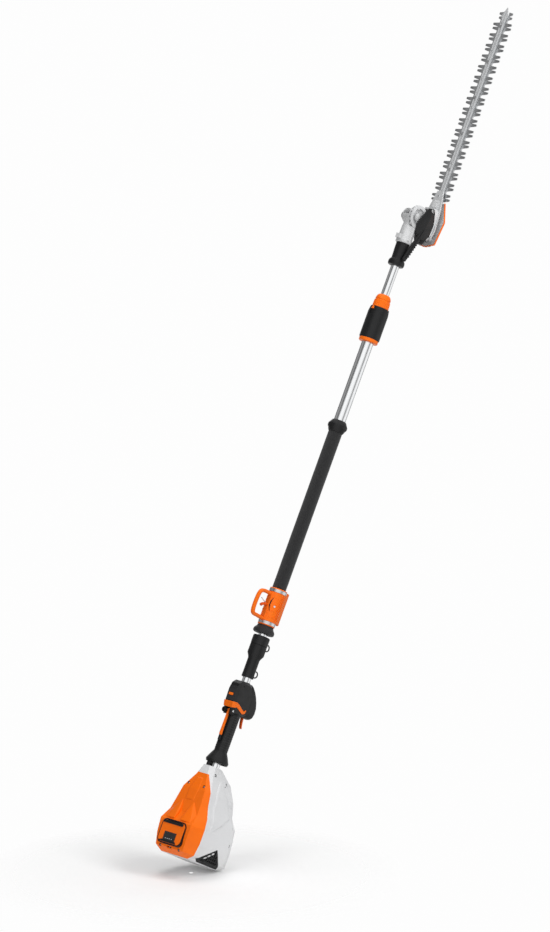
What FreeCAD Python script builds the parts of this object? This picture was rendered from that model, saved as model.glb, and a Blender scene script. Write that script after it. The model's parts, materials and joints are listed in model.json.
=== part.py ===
"""Pole hedge trimmer: one STEP file per piece, in millimetres.

The pole's axis is +Z and the housing's foot is z = 0.  -Y is the side of the battery and the
lockout lever, +Y is the side of the trigger and the blade, and X is the cutter's tilt axis.
"""
import FreeCAD
import Part
import math
import os

Vector = FreeCAD.Vector
X_AXIS = Vector(1, 0, 0)
Y_AXIS = Vector(0, 1, 0)
Z_AXIS = Vector(0, 0, 1)
BIG = 400.0                      # larger than any section that is cut with a half space

# ---------------------------------------------------------------- clearances
SEAT = 0.1                       # between pieces that are fixed to each other
RUN = 0.05                       # radial clearance of a shaft in its bearing
SLIDE = 0.3                      # between curved faces that move past each other
GAP = 1.5                        # room around a piece that swings

# ---------------------------------------------------------------- tubes
TUBE_RADIUS = 12.7               # lower drive tube and inner telescopic tube
TUBE_WALL = 1.6
TELESCOPE_GAP = 3.7              # between the inner tube and the outer tube's bore
OUTER_TUBE_RADIUS = TUBE_RADIUS + TELESCOPE_GAP + TUBE_WALL

# ---------------------------------------------------------------- motor housing
HOUSING_HEIGHT = 272.0
HOUSING_HALF_WIDTH = 80.0
HOUSING_FRONT = 76.0             # reach of the battery side from the pole's axis
HOUSING_BACK = 118.0             # reach of the other side
WALL = 3.0
COVER_PLANE_Y = -36.0            # joint between the orange cover and the side shells
COVER_TOP = 246.0
NECK_HEIGHT = 34.0               # length of the shells' grip on the carrier's socket
GRILLE_START_Y = -30.0
GRILLE_END_Y = 78.0
GRILLE_PEAK_Y = 41.0
GRILLE_HEIGHT = 54.0
GRILLE_SLOT = 4.0
GRILLE_BAR = 4.5

# ---------------------------------------------------------------- battery
BATTERY_HALF_WIDTH = 44.0
BATTERY_BOTTOM = 24.0
BATTERY_HEIGHT = 64.0
BATTERY_DEPTH = 112.0
BATTERY_PROUD = 2.0              # the pack's face stands out of the cover
BATTERY_CORNER = 13.0
BAY_WALL = 3.2
BAY_CLEARANCE = 0.6
LATCH_HALF_WIDTH = 30.0
LATCH_HEIGHT = 7.0

# ---------------------------------------------------------------- controller
TRAY_FRONT = 62.0
TRAY_DEPTH = 20.0
TRAY_HALF_WIDTH = 34.0
TRAY_BOTTOM = 66.0
TRAY_TOP = 138.0

# ---------------------------------------------------------------- motor
MOTOR_RADIUS = 38.0
MOTOR_LENGTH = 74.0
MOTOR_TOP = HOUSING_HEIGHT - 80.0
MOTOR_BOTTOM = MOTOR_TOP - MOTOR_LENGTH
MOTOR_SOCKET = TUBE_RADIUS + 4.3  # outer radius of the carrier's tube socket
CAN_WALL = 2.5
STATOR_BORE = 21.0
AIR_GAP = 0.5
STATOR_SLOTS = 9
SHAFT_RADIUS = 4.9
SHAFT_SQUARE = 8.0
BEARING_RADIUS = 11.0
BEARING_LENGTH = 7.0
FAN_RADIUS = 33.0
FAN_BLADES = 9
FAN_HEIGHT = 11.0

# ---------------------------------------------------------------- control handle
SKIRT_GAP = 14.0                 # bare tube between the housing and the handle
SKIRT_HEIGHT = 32.0
GRIP_LENGTH = 119.0
HEAD_HEIGHT = 95.0
GRIP_RADIUS = TUBE_RADIUS + 6.8
SKIRT_RADIUS = TUBE_RADIUS + 21.3
HEAD_HALF_WIDTH = 22.0
HEAD_FRONT = 40.0                # reach of the display side
HEAD_BACK = 56.0                 # reach of the trigger side
HEAD_CHAMFER = 7.0
LEVER_HALF_WIDTH = 7.0
LEVER_LENGTH = 92.0
LEVER_THICKNESS = 8.0
LEVER_PIVOT_Y = -GRIP_RADIUS - 5.5
TRIGGER_HALF_WIDTH = 6.0
TRIGGER_PIVOT_Y = GRIP_RADIUS + 11.5
TRIGGER_REACH = 57.0
PIN_RADIUS = 2.0
BUTTON_HALF_WIDTH = 8.0
BUTTON_HEIGHT = 7.0
BUTTON_TRAVEL = 1.5
CABLE_RADIUS = 2.0
CABLE_OFFSET = TUBE_RADIUS - 1.2   # the cable runs beside the tube, this far along -X and -Y

# ---------------------------------------------------------------- sleeves, clamp and foam grip
SLEEVE_GAP = 14.0                # bare tube above the control head
SMALL_SLEEVE_LENGTH = 64.0
SMALL_SLEEVE_RADIUS = TUBE_RADIUS + 5.3
LARGE_SLEEVE_LENGTH = 62.0
LARGE_SLEEVE_RADIUS = TUBE_RADIUS + 12.3
EYE_RADIUS = 11.0
EYE_HOLE = 7.0
EYE_THICKNESS = 5.0
BOOT_LENGTH = 32.0
BOOT_RADIUS = OUTER_TUBE_RADIUS + 11.0
CLAMP_LENGTH = 111.0
CLAMP_RADIUS = OUTER_TUBE_RADIUS + 7.5
CLAMP_BAND_HEIGHT = 9.0
CLAMP_RIM = 3.0
LOOP_REACH = CLAMP_RADIUS + 54.5
LOOP_HALF_WIDTH = 9.0
LOOP_BAR = 15.0
FOAM_GAP = 9.0
FOAM_LENGTH = 476.0
FOAM_RADIUS = OUTER_TUBE_RADIUS + 2.7
COLLAR_LENGTH = 35.0
COLLAR_RADIUS = OUTER_TUBE_RADIUS + 11.0

# ---------------------------------------------------------------- tubes, collet and shafts
BARE_TUBE_LENGTH = 244.0         # outer tube between the grip's collar and the collet
TUBE_OVERLAP = 30.0              # lower tube inside the outer tube
INNER_TUBE_LENGTH = 1025.0
INNER_TUBE_SHOWN = 92.0          # between the collet and the locking sleeve, pushed in
COLLET_SLEEVE_LENGTH = 106.0
COLLET_RADIUS = OUTER_TUBE_RADIUS + 12.5
NUT_LENGTH = 41.0
NUT_RADIUS = OUTER_TUBE_RADIUS + 7.5
NUT_RIBS = 24
INSERT_LENGTH = 40.0
UPPER_SHAFT_RADIUS = 6.5
BUSH_LENGTH = 24.0
LOWER_BUSH_COUNT = 3
UPPER_BUSH_COUNT = 4

# ---------------------------------------------------------------- tilting joint
LOCK_SLEEVE_LENGTH = 76.0
ARM_LENGTH = 80.0                # from the arm's lower end to the pivot
SPIGOT_LENGTH = 48.0
SPIGOT_RADIUS = TUBE_RADIUS + 2.0
ARM_RADIUS = SPIGOT_RADIUS + 5.8
LOCK_PIN_RADIUS = 2.5
LOCK_PIN_X = SPIGOT_RADIUS + LOCK_PIN_RADIUS + SLIDE
SLEEVE_RADIUS = LOCK_PIN_X + LOCK_PIN_RADIUS + 1.5
SLEEVE_COLLAR_RADIUS = SLEEVE_RADIUS + 3.0
LOCK_PIN_REST_GAP = 0.4          # the pin's tip stops just under the quadrant's hole
CUP_OUTER = 23.0
CUP_INNER = 18.6
CUP_LEFT = -20.0
CUP_WALL = 3.0
QUADRANT_OUTER = 34.0
QUADRANT_INNER = 24.5
QUADRANT_THICKNESS = 10.0
CUP_RIGHT = LOCK_PIN_X - QUADRANT_THICKNESS / 2 - 0.5 - CUP_WALL
QUADRANT_HOLES = 7
TILT_RANGE = 145.0
BEVEL_TEETH = 16
BEVEL_ADDENDUM = 0.12            # of the circular pitch
GEAR_PITCH_RADIUS = (CUP_RIGHT - SLIDE) / (1 + BEVEL_ADDENDUM * 2 * math.pi / BEVEL_TEETH)
GEAR_FACE = 3.2

# ---------------------------------------------------------------- cutter head
DRUM_OUTER = CUP_INNER - 0.4
DRUM_INNER = DRUM_OUTER - 2.4
NECK_RADIUS = 8.0
CORE_FRONT = 54.0
CORE_BACK = 78.0
CORE_HALF_WIDTH = 24.0
CORE_BELOW = 44.0                # the casting's reach below and above the pivot
CORE_ABOVE = 50.0
COVER_FRONT = 50.0
COVER_BACK = 64.0
SPUR_RADIUS = 6.0
SPUR_TEETH = 12
CRANK_RADIUS = 18.0
CRANK_TEETH = 36
SPUR_FACE = 6.0
ECCENTRICITY = 8.5
CRANK_PIN_RADIUS = 3.5
BLADE_GAP = 0.2
BLADE_THICKNESS = 2.6
RAIL_THICKNESS = 3.0
RAIL_HALF_WIDTH = 7.0
BLADE_BODY = 13.0
TOOTH_REACH = 35.7
TOOTH_PITCH = 34.0
TOOTH_COUNT = 18
TOOTH_ROOT = 13.0
TOOTH_TIP = 6.0
TIP_LENGTH = 28.0                # the guide rail's reach past the last tooth
REST_OFFSET = 6.0                # each blade's shift from the middle of its stroke at rest
BLADE_SCREWS = 6
SCREW_RADIUS = 3.0
SKID_BELOW = 59.0                # the skid plate's reach below and above the pivot
SKID_ABOVE = 77.0
SKID_HALF_WIDTH = 44.0
SKID_THICKNESS = 2.5
GUARD_WIDTH = 3.5

# ---------------------------------------------------------------- heights along the pole
LOWER_TUBE_BOTTOM = MOTOR_TOP + 13
SKIRT_BOTTOM = HOUSING_HEIGHT + SKIRT_GAP
GRIP_BOTTOM = SKIRT_BOTTOM + SKIRT_HEIGHT
HEAD_BOTTOM = GRIP_BOTTOM + GRIP_LENGTH
HEAD_TOP = HEAD_BOTTOM + HEAD_HEIGHT
LEVER_PIVOT_Z = HEAD_BOTTOM + 5
TRIGGER_PIVOT_Z = HEAD_BOTTOM + 11
TRIGGER_TIP_Z = TRIGGER_PIVOT_Z - TRIGGER_REACH
BUTTON_Z = HEAD_BOTTOM + 45
SMALL_SLEEVE_BOTTOM = HEAD_TOP + SLEEVE_GAP
SMALL_SLEEVE_TOP = SMALL_SLEEVE_BOTTOM + SMALL_SLEEVE_LENGTH
LARGE_SLEEVE_TOP = SMALL_SLEEVE_TOP + LARGE_SLEEVE_LENGTH
BOOT_TOP = LARGE_SLEEVE_TOP + BOOT_LENGTH
OUTER_TUBE_BOTTOM = BOOT_TOP + 2
CLAMP_TOP = BOOT_TOP + CLAMP_LENGTH
FOAM_BOTTOM = CLAMP_TOP + FOAM_GAP
FOAM_TOP = FOAM_BOTTOM + FOAM_LENGTH
COLLAR_TOP = FOAM_TOP + COLLAR_LENGTH
COLLET_BOTTOM = COLLAR_TOP + BARE_TUBE_LENGTH
COLLET_SLEEVE_TOP = COLLET_BOTTOM + COLLET_SLEEVE_LENGTH
OUTER_TUBE_TOP = COLLET_SLEEVE_TOP + 15
NUT_TOP = COLLET_SLEEVE_TOP + NUT_LENGTH
SLEEVE_BOTTOM = NUT_TOP + INNER_TUBE_SHOWN
ARM_BOTTOM = SLEEVE_BOTTOM + LOCK_SLEEVE_LENGTH
INNER_TUBE_TOP = ARM_BOTTOM + 36
INNER_TUBE_BOTTOM = INNER_TUBE_TOP - INNER_TUBE_LENGTH
LOWER_SHAFT_TOP = OUTER_TUBE_TOP
UPPER_SHAFT_BOTTOM = INNER_TUBE_BOTTOM + 25
PIVOT_Z = ARM_BOTTOM + ARM_LENGTH
CORE_BOTTOM = PIVOT_Z - CORE_BELOW
CORE_TOP = PIVOT_Z + CORE_ABOVE
SKID_BOTTOM = PIVOT_Z - SKID_BELOW
SKID_TOP = PIVOT_Z + SKID_ABOVE
FIRST_TOOTH_Z = SKID_TOP + 15
BLADE_TIP_Z = FIRST_TOOTH_Z + TOOTH_PITCH * (TOOTH_COUNT - 1) + TIP_LENGTH
CRANK_Z = PIVOT_Z + SPUR_RADIUS + CRANK_RADIUS
BLADE_FRONT = CORE_BACK + BLADE_GAP
UPPER_BLADE_Y = BLADE_FRONT + RAIL_THICKNESS + BLADE_GAP
LOWER_BLADE_Y = UPPER_BLADE_Y + BLADE_THICKNESS + BLADE_GAP
SKID_Y = LOWER_BLADE_Y + BLADE_THICKNESS + BLADE_GAP
STROKE_AHEAD = ECCENTRICITY - REST_OFFSET       # the upper blade's way up from rest
STROKE_BACK = ECCENTRICITY + REST_OFFSET        # and its way down


# ================================================================ solid helpers
def box(x0, x1, y0, y1, z0, z1):
    return Part.makeBox(x1 - x0, y1 - y0, z1 - z0, Vector(x0, y0, z0))


def rod(radius, z0, z1, x=0.0, y=0.0):
    return Part.makeCylinder(radius, z1 - z0, Vector(x, y, z0), Z_AXIS)


def rod_x(radius, x0, x1, y, z):
    return Part.makeCylinder(radius, x1 - x0, Vector(x0, y, z), X_AXIS)


def rod_y(radius, y0, y1, x, z):
    return Part.makeCylinder(radius, y1 - y0, Vector(x, y0, z), Y_AXIS)


def pipe(outer, inner, z0, z1):
    return rod(outer, z0, z1).cut(rod(inner, z0 - 1, z1 + 1))


def pipe_x(outer, inner, x0, x1, z):
    return rod_x(outer, x0, x1, 0, z).cut(rod_x(inner, x0 - 1, x1 + 1, 0, z))


def face_of(points):
    return Part.Face(Part.makePolygon(points + [points[0]]))


def prism_x(outline, x0, x1):
    """An outline of (y, z) points, extruded along X."""
    return face_of([Vector(x0, y, z) for y, z in outline]).extrude(Vector(x1 - x0, 0, 0))


def prism_y(outline, y0, y1):
    """An outline of (x, z) points, extruded along Y."""
    return face_of([Vector(x, y0, z) for x, z in outline]).extrude(Vector(0, y1 - y0, 0))


def prism_z(outline, z0, z1):
    """An outline of (x, y) points, extruded along Z."""
    return face_of([Vector(x, y, z0) for x, y in outline]).extrude(Vector(0, 0, z1 - z0))


def lathe(outline):
    """An outline of (radius, z) points, turned about the pole's axis."""
    profile = face_of([Vector(r, 0, z) for r, z in outline])
    return profile.revolve(Vector(0, 0, 0), Z_AXIS, 360)


def rounded_slab_y(half_width, bottom, height, corner, y0, y1):
    """A slab with rounded corners, seen along Y."""
    slab = box(-half_width, half_width, y0, y1, bottom, bottom + height)
    corners = [edge for edge in slab.Edges if is_along(edge, Y_AXIS)]
    return slab.makeFillet(corner, corners)


def is_along(edge, axis):
    span = edge.Vertexes[-1].Point - edge.Vertexes[0].Point
    return span.Length > 0 and abs(span.dot(axis)) > 0.999 * span.Length


def sector_x(radius, x0, x1, start, end):
    """A pie about the pivot, from angle start to end in degrees, 0 at +Y and 90 at +Z."""
    steps = max(2, int((end - start) / 30.0) + 1)
    reach = radius * 1.2
    outline = [(0.0, PIVOT_Z)]
    for step in range(steps + 1):
        angle = math.radians(start + (end - start) * step / steps)
        outline.append((reach * math.cos(angle), PIVOT_Z + reach * math.sin(angle)))
    return prism_x(outline, x0, x1)


def mirrored_x(shape):
    return shape.mirror(Vector(0, 0, 0), X_AXIS)


def around(shape, count, centre, axis):
    """Copies of a shape, evenly spaced about an axis."""
    copies = []
    for index in range(count):
        copy = shape.copy()
        copy.rotate(centre, axis, 360.0 * index / count)
        copies.append(copy)
    return copies


def coil(radius, wire, length, turns, base):
    """A helical spring that stands on base, along Z."""
    helix = Part.makeHelix((length - 2 * wire) / turns, length - 2 * wire, radius)
    section = Part.Wire(Part.makeCircle(wire, Vector(radius, 0, 0), Y_AXIS))
    spring = Part.Wire(helix.Edges).makePipeShell([section], True, True)
    spring.translate(base + Vector(0, 0, wire))
    return spring


def inset(points, distance):
    """Moves every side of a counter-clockwise (x, y) outline inwards by a distance."""
    count = len(points)
    sides = []
    for index in range(count):
        x0, y0 = points[index]
        x1, y1 = points[(index + 1) % count]
        length = math.hypot(x1 - x0, y1 - y0)
        normal_x = -(y1 - y0) / length
        normal_y = (x1 - x0) / length
        sides.append((normal_x, normal_y, normal_x * x0 + normal_y * y0 + distance))
    moved = []
    for index in range(count):
        a0, b0, c0 = sides[index - 1]
        a1, b1, c1 = sides[index]
        cross = a0 * b1 - a1 * b0
        moved.append(((c0 * b1 - c1 * b0) / cross, (a0 * c1 - a1 * c0) / cross))
    return moved


def bar(start, end, width, depth):
    """A straight bar with rounded long edges between two points."""
    length = (end - start).Length
    body = Part.makeBox(width, depth, length, Vector(-width / 2, -depth / 2, 0))
    body = body.makeFillet(depth * 0.35, [e for e in body.Edges if is_along(e, Z_AXIS)])
    body.Placement = FreeCAD.Placement(start, FreeCAD.Rotation(Z_AXIS, end - start))
    return body


# ================================================================ motor housing
class Section:
    """One level of the housing: an eight-sided outline, symmetric about X = 0.

    The shares are of HOUSING_HEIGHT, HOUSING_FRONT, HOUSING_BACK and HOUSING_HALF_WIDTH.
    """

    def __init__(self, level, front, back, side, front_flat, back_flat, shoulder, hip):
        self.z = level * HOUSING_HEIGHT
        front_y = -front * HOUSING_FRONT
        back_y = back * HOUSING_BACK
        side_x = side * HOUSING_HALF_WIDTH
        self.outline = [
            (-front_flat * HOUSING_HALF_WIDTH, front_y),
            (front_flat * HOUSING_HALF_WIDTH, front_y),
            (side_x, -shoulder * HOUSING_FRONT),
            (side_x, hip * HOUSING_BACK),
            (back_flat * HOUSING_HALF_WIDTH, back_y),
            (-back_flat * HOUSING_HALF_WIDTH, back_y),
            (-side_x, hip * HOUSING_BACK),
            (-side_x, -shoulder * HOUSING_FRONT),
        ]


def housing_sections():
    """Levels from the foot to the neck: a wide foot, a battery hood, a waist and a slim neck."""
    return [
        Section(0.00, 0.64, 0.88, 0.78, 0.54, 0.56, 0.32, 0.64),
        Section(0.05, 0.87, 1.00, 0.94, 0.68, 0.72, 0.44, 0.71),
        Section(0.18, 0.96, 1.00, 1.00, 0.74, 0.74, 0.47, 0.73),
        Section(0.33, 1.00, 0.97, 1.00, 0.77, 0.72, 0.48, 0.69),
        Section(0.45, 0.78, 0.95, 0.95, 0.68, 0.67, 0.46, 0.64),
        Section(0.57, 0.73, 0.78, 0.80, 0.62, 0.57, 0.44, 0.52),
        Section(0.72, 0.68, 0.71, 0.68, 0.54, 0.47, 0.45, 0.44),
        Section(0.88, 0.54, 0.54, 0.42, 0.26, 0.29, 0.37, 0.21),
        Section(1.00, 0.45, 0.16, 0.29, 0.15, 0.16, 0.27, 0.03),
    ]


def housing_body(distance):
    """The housing's solid form, with every side moved inwards by a distance."""
    sections = housing_sections()
    last = len(sections) - 1
    wires = []
    for index, section in enumerate(sections):
        z = section.z
        if index == 0:
            z += distance
        if index == last:
            z -= distance
        points = [Vector(x, y, z) for x, y in inset(section.outline, distance)]
        wires.append(Part.makePolygon(points + [points[0]]))
    return Part.makeLoft(wires, True, True)


def grille_wedge(growth):
    """The triangular intake region at the foot, grown by a distance."""
    outline = [
        (GRILLE_START_Y - 2 * growth, -1),
        (GRILLE_END_Y + growth, -1),
        (GRILLE_END_Y + growth, 4),
        (GRILLE_PEAK_Y + growth, GRILLE_HEIGHT + growth),
        (GRILLE_PEAK_Y - 3 * growth, GRILLE_HEIGHT + growth),
        (GRILLE_START_Y - 2 * growth, 4),
    ]
    return prism_x(outline, -BIG, BIG)


def screw_spots():
    """Housing screws in the orange cover: (x, z) of each."""
    upper = (0.39 * HOUSING_HALF_WIDTH, 0.765 * HOUSING_HEIGHT)
    lower = (0.47 * HOUSING_HALF_WIDTH, 0.05 * HOUSING_HEIGHT)
    return [(sign * x, z) for x, z in (upper, lower) for sign in (-1, 1)]


def shell_posts():
    """Bosses that join the two side shells: (y, z) of each."""
    return [
        (0.24 * HOUSING_BACK, 0.845 * HOUSING_HEIGHT),
        (0.57 * HOUSING_BACK, 0.66 * HOUSING_HEIGHT),
        (0.90 * HOUSING_BACK, 0.45 * HOUSING_HEIGHT),
        (0.88 * HOUSING_BACK, 0.08 * HOUSING_HEIGHT),
    ]


def bay_opening(growth):
    return rounded_slab_y(
        BATTERY_HALF_WIDTH + BAY_CLEARANCE + growth,
        BATTERY_BOTTOM - BAY_CLEARANCE - growth,
        BATTERY_HEIGHT + 2 * (BAY_CLEARANCE + growth),
        BATTERY_CORNER + growth,
        -BIG,
        COVER_PLANE_Y + WALL,
    )


def build_housing():
    outer = housing_body(0)
    hollow = outer.cut(housing_body(WALL))
    cover_zone = box(-BIG, BIG, -BIG, COVER_PLANE_Y, -1, COVER_TOP)
    cover = hollow.common(cover_zone)
    cover = cover.cut(bay_opening(BAY_WALL + SEAT))
    for x, z in screw_spots():
        cover = cover.cut(rod_y(2.2, -BIG, COVER_PLANE_Y, x, z))

    shells = hollow.cut(box(-BIG, BIG, -BIG, COVER_PLANE_Y + SEAT, -1, COVER_TOP + SEAT))
    shells = shells.cut(grille_wedge(SEAT))
    posts = []
    for y, z in shell_posts():
        posts.append(rod_x(5.5, -BIG, BIG, y, z).common(housing_body(WALL / 2)))
    neck_block = rod(MOTOR_SOCKET + 6, HOUSING_HEIGHT - NECK_HEIGHT, HOUSING_HEIGHT)
    shells = shells.fuse(posts + [neck_block.common(outer)]).removeSplitter()
    shells = shells.cut(rod(MOTOR_SOCKET + SEAT, 0, HOUSING_HEIGHT + 1))
    shells = shells.cut(cable_path(CABLE_RADIUS + SEAT))
    tray = tray_box(SEAT)
    rails = tray_rails().common(housing_body(WALL / 2))
    shells = shells.fuse(rails).cut(tray)
    for y, z in shell_posts():
        shells = shells.cut(rod_x(2.2, -BIG, BIG, y, z))
    right = shells.common(box(SEAT / 2, BIG, -BIG, BIG, -1, BIG))
    left = shells.common(box(-BIG, -SEAT / 2, -BIG, BIG, -1, BIG))

    grille = hollow.common(grille_wedge(0))
    pitch = GRILLE_SLOT + GRILLE_BAR
    count = int((GRILLE_END_Y - GRILLE_START_Y) / pitch)
    for index in range(2, count - 1):
        y = GRILLE_START_Y + pitch * index
        rise = min((y - GRILLE_START_Y) / (GRILLE_PEAK_Y - GRILLE_START_Y),
                   (GRILLE_END_Y - y - GRILLE_SLOT) / (GRILLE_END_Y - GRILLE_PEAK_Y))
        top = GRILLE_HEIGHT * rise - GRILLE_BAR
        if top > 14:
            grille = grille.cut(box(-BIG, BIG, y, y + GRILLE_SLOT, 8, top))

    screws = []
    for x, z in screw_spots():
        face_y = front_of_housing(z)
        screws.append(rod_y(2.0, face_y + 4, COVER_PLANE_Y + 12, x, z))
    cover_bosses = []
    for x, z in screw_spots():
        boss = rod_y(5.0, -BIG, COVER_PLANE_Y, x, z).common(housing_body(WALL / 2))
        cover_bosses.append(boss.cut(rod_y(2.2, -BIG, BIG, x, z)))
    cover = cover.fuse(cover_bosses).removeSplitter()
    cover = cover.cut(bay_opening(BAY_WALL + SEAT))
    for y, z in shell_posts():
        half = 0.34 * HOUSING_HALF_WIDTH
        screws.append(rod_x(2.0, -half, half, y, z))
    return {
        "motor_shell_left": left,
        "motor_shell_right": right,
        "rear_cover": cover,
        "intake_grille": grille,
        "housing_screws": Part.makeCompound(screws),
    }


def front_of_housing(z):
    """The y of the housing's front flat at a height."""
    sections = housing_sections()
    for low, high in zip(sections, sections[1:]):
        if low.z <= z <= high.z:
            share = (z - low.z) / (high.z - low.z)
            return low.outline[0][1] * (1 - share) + high.outline[0][1] * share
    return sections[-1].outline[0][1]


# ================================================================ controller tray
def tray_box(growth):
    return box(-TRAY_HALF_WIDTH - growth, TRAY_HALF_WIDTH + growth, TRAY_FRONT - growth,
               TRAY_FRONT + TRAY_DEPTH + growth, TRAY_BOTTOM - growth, TRAY_TOP + growth)


def tray_rails():
    """Two shelves in each shell that hold the controller by its long edges."""
    rails = []
    for z in (TRAY_BOTTOM + 8, TRAY_TOP - 12):
        for side in (-1, 1):
            near = side * (TRAY_HALF_WIDTH - 6)
            far = side * HOUSING_HALF_WIDTH
            rails.append(box(min(near, far), max(near, far), TRAY_FRONT - 4,
                             TRAY_FRONT + TRAY_DEPTH + 4, z, z + 4))
    return Part.makeCompound(rails)


def build_controller():
    tray = tray_box(0)
    fins = [box(-TRAY_HALF_WIDTH + 3 + 8 * i, -TRAY_HALF_WIDTH + 7 + 8 * i, TRAY_FRONT - 1,
                TRAY_FRONT + 7, TRAY_BOTTOM - 1, TRAY_TOP + 1) for i in range(8)]
    return {"controller": tray.cut(Part.makeCompound(fins))}


# ================================================================ battery
def build_battery():
    face_y = -HOUSING_FRONT - BATTERY_PROUD
    back_y = face_y + BATTERY_DEPTH
    pack = rounded_slab_y(BATTERY_HALF_WIDTH, BATTERY_BOTTOM, BATTERY_HEIGHT,
                          BATTERY_CORNER, face_y, back_y)
    top = BATTERY_BOTTOM + BATTERY_HEIGHT
    slot = box(-LATCH_HALF_WIDTH - 0.5, LATCH_HALF_WIDTH + 0.5, face_y - 1, face_y + 15,
               top - LATCH_HEIGHT - 1, top + 1)
    pack = pack.cut(slot)
    for side in (-1, 1):
        groove_x = side * (BATTERY_HALF_WIDTH - 3)
        inner = side * (BATTERY_HALF_WIDTH + 1)
        pack = pack.cut(box(min(groove_x, inner), max(groove_x, inner), face_y + 14,
                            back_y + 1, BATTERY_BOTTOM + 28, BATTERY_BOTTOM + 36))
    contacts = [box(x - 1, x + 1, back_y - 12, back_y + 1, BATTERY_BOTTOM + 14,
                    BATTERY_BOTTOM + 50) for x in (-18, -6, 6, 18)]
    pack = pack.cut(Part.makeCompound(contacts))

    latch = box(-LATCH_HALF_WIDTH, LATCH_HALF_WIDTH, face_y - 0.5, face_y + 6,
                top - LATCH_HEIGHT, top - 1.5)
    barrel = rod_x(2.6, -LATCH_HALF_WIDTH, LATCH_HALF_WIDTH, face_y + 9, top - 4.2)
    web = box(-LATCH_HALF_WIDTH, LATCH_HALF_WIDTH, face_y + 4, face_y + 9, top - 5.6, top - 2.8)
    latch = latch.fuse([barrel, web]).removeSplitter()
    pin = rod_x(1.0, -LATCH_HALF_WIDTH - 6, LATCH_HALF_WIDTH + 6, face_y + 9, top - 4.2)
    latch = latch.cut(rod_x(1.0 + RUN, -BIG, BIG, face_y + 9, top - 4.2))
    pack = pack.fuse(pin).removeSplitter()

    bay_back = back_y + 10
    shell = rounded_slab_y(BATTERY_HALF_WIDTH + BAY_CLEARANCE + BAY_WALL,
                           BATTERY_BOTTOM - BAY_CLEARANCE - BAY_WALL,
                           BATTERY_HEIGHT + 2 * (BAY_CLEARANCE + BAY_WALL),
                           BATTERY_CORNER + BAY_WALL, -HOUSING_FRONT - 1, bay_back)
    cavity = rounded_slab_y(BATTERY_HALF_WIDTH + BAY_CLEARANCE, BATTERY_BOTTOM - BAY_CLEARANCE,
                            BATTERY_HEIGHT + 2 * BAY_CLEARANCE, BATTERY_CORNER,
                            -BIG, back_y + BAY_CLEARANCE)
    bay = shell.cut(cavity)
    runners = []
    for side in (-1, 1):
        near = side * (BATTERY_HALF_WIDTH - 3 + SLIDE)
        far = side * (BATTERY_HALF_WIDTH + BAY_CLEARANCE + 1)
        runners.append(box(min(near, far), max(near, far), face_y + 30, back_y,
                           BATTERY_BOTTOM + 28 + SLIDE, BATTERY_BOTTOM + 36 - SLIDE))
    blades = [box(x - 0.6, x + 0.6, back_y - 10, back_y + 2, BATTERY_BOTTOM + 16,
                  BATTERY_BOTTOM + 48) for x in (-18, -6, 6, 18)]
    bay = bay.fuse(runners + blades).removeSplitter()
    return {"battery_case": pack, "battery_latch": latch, "battery_bay": bay}


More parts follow.
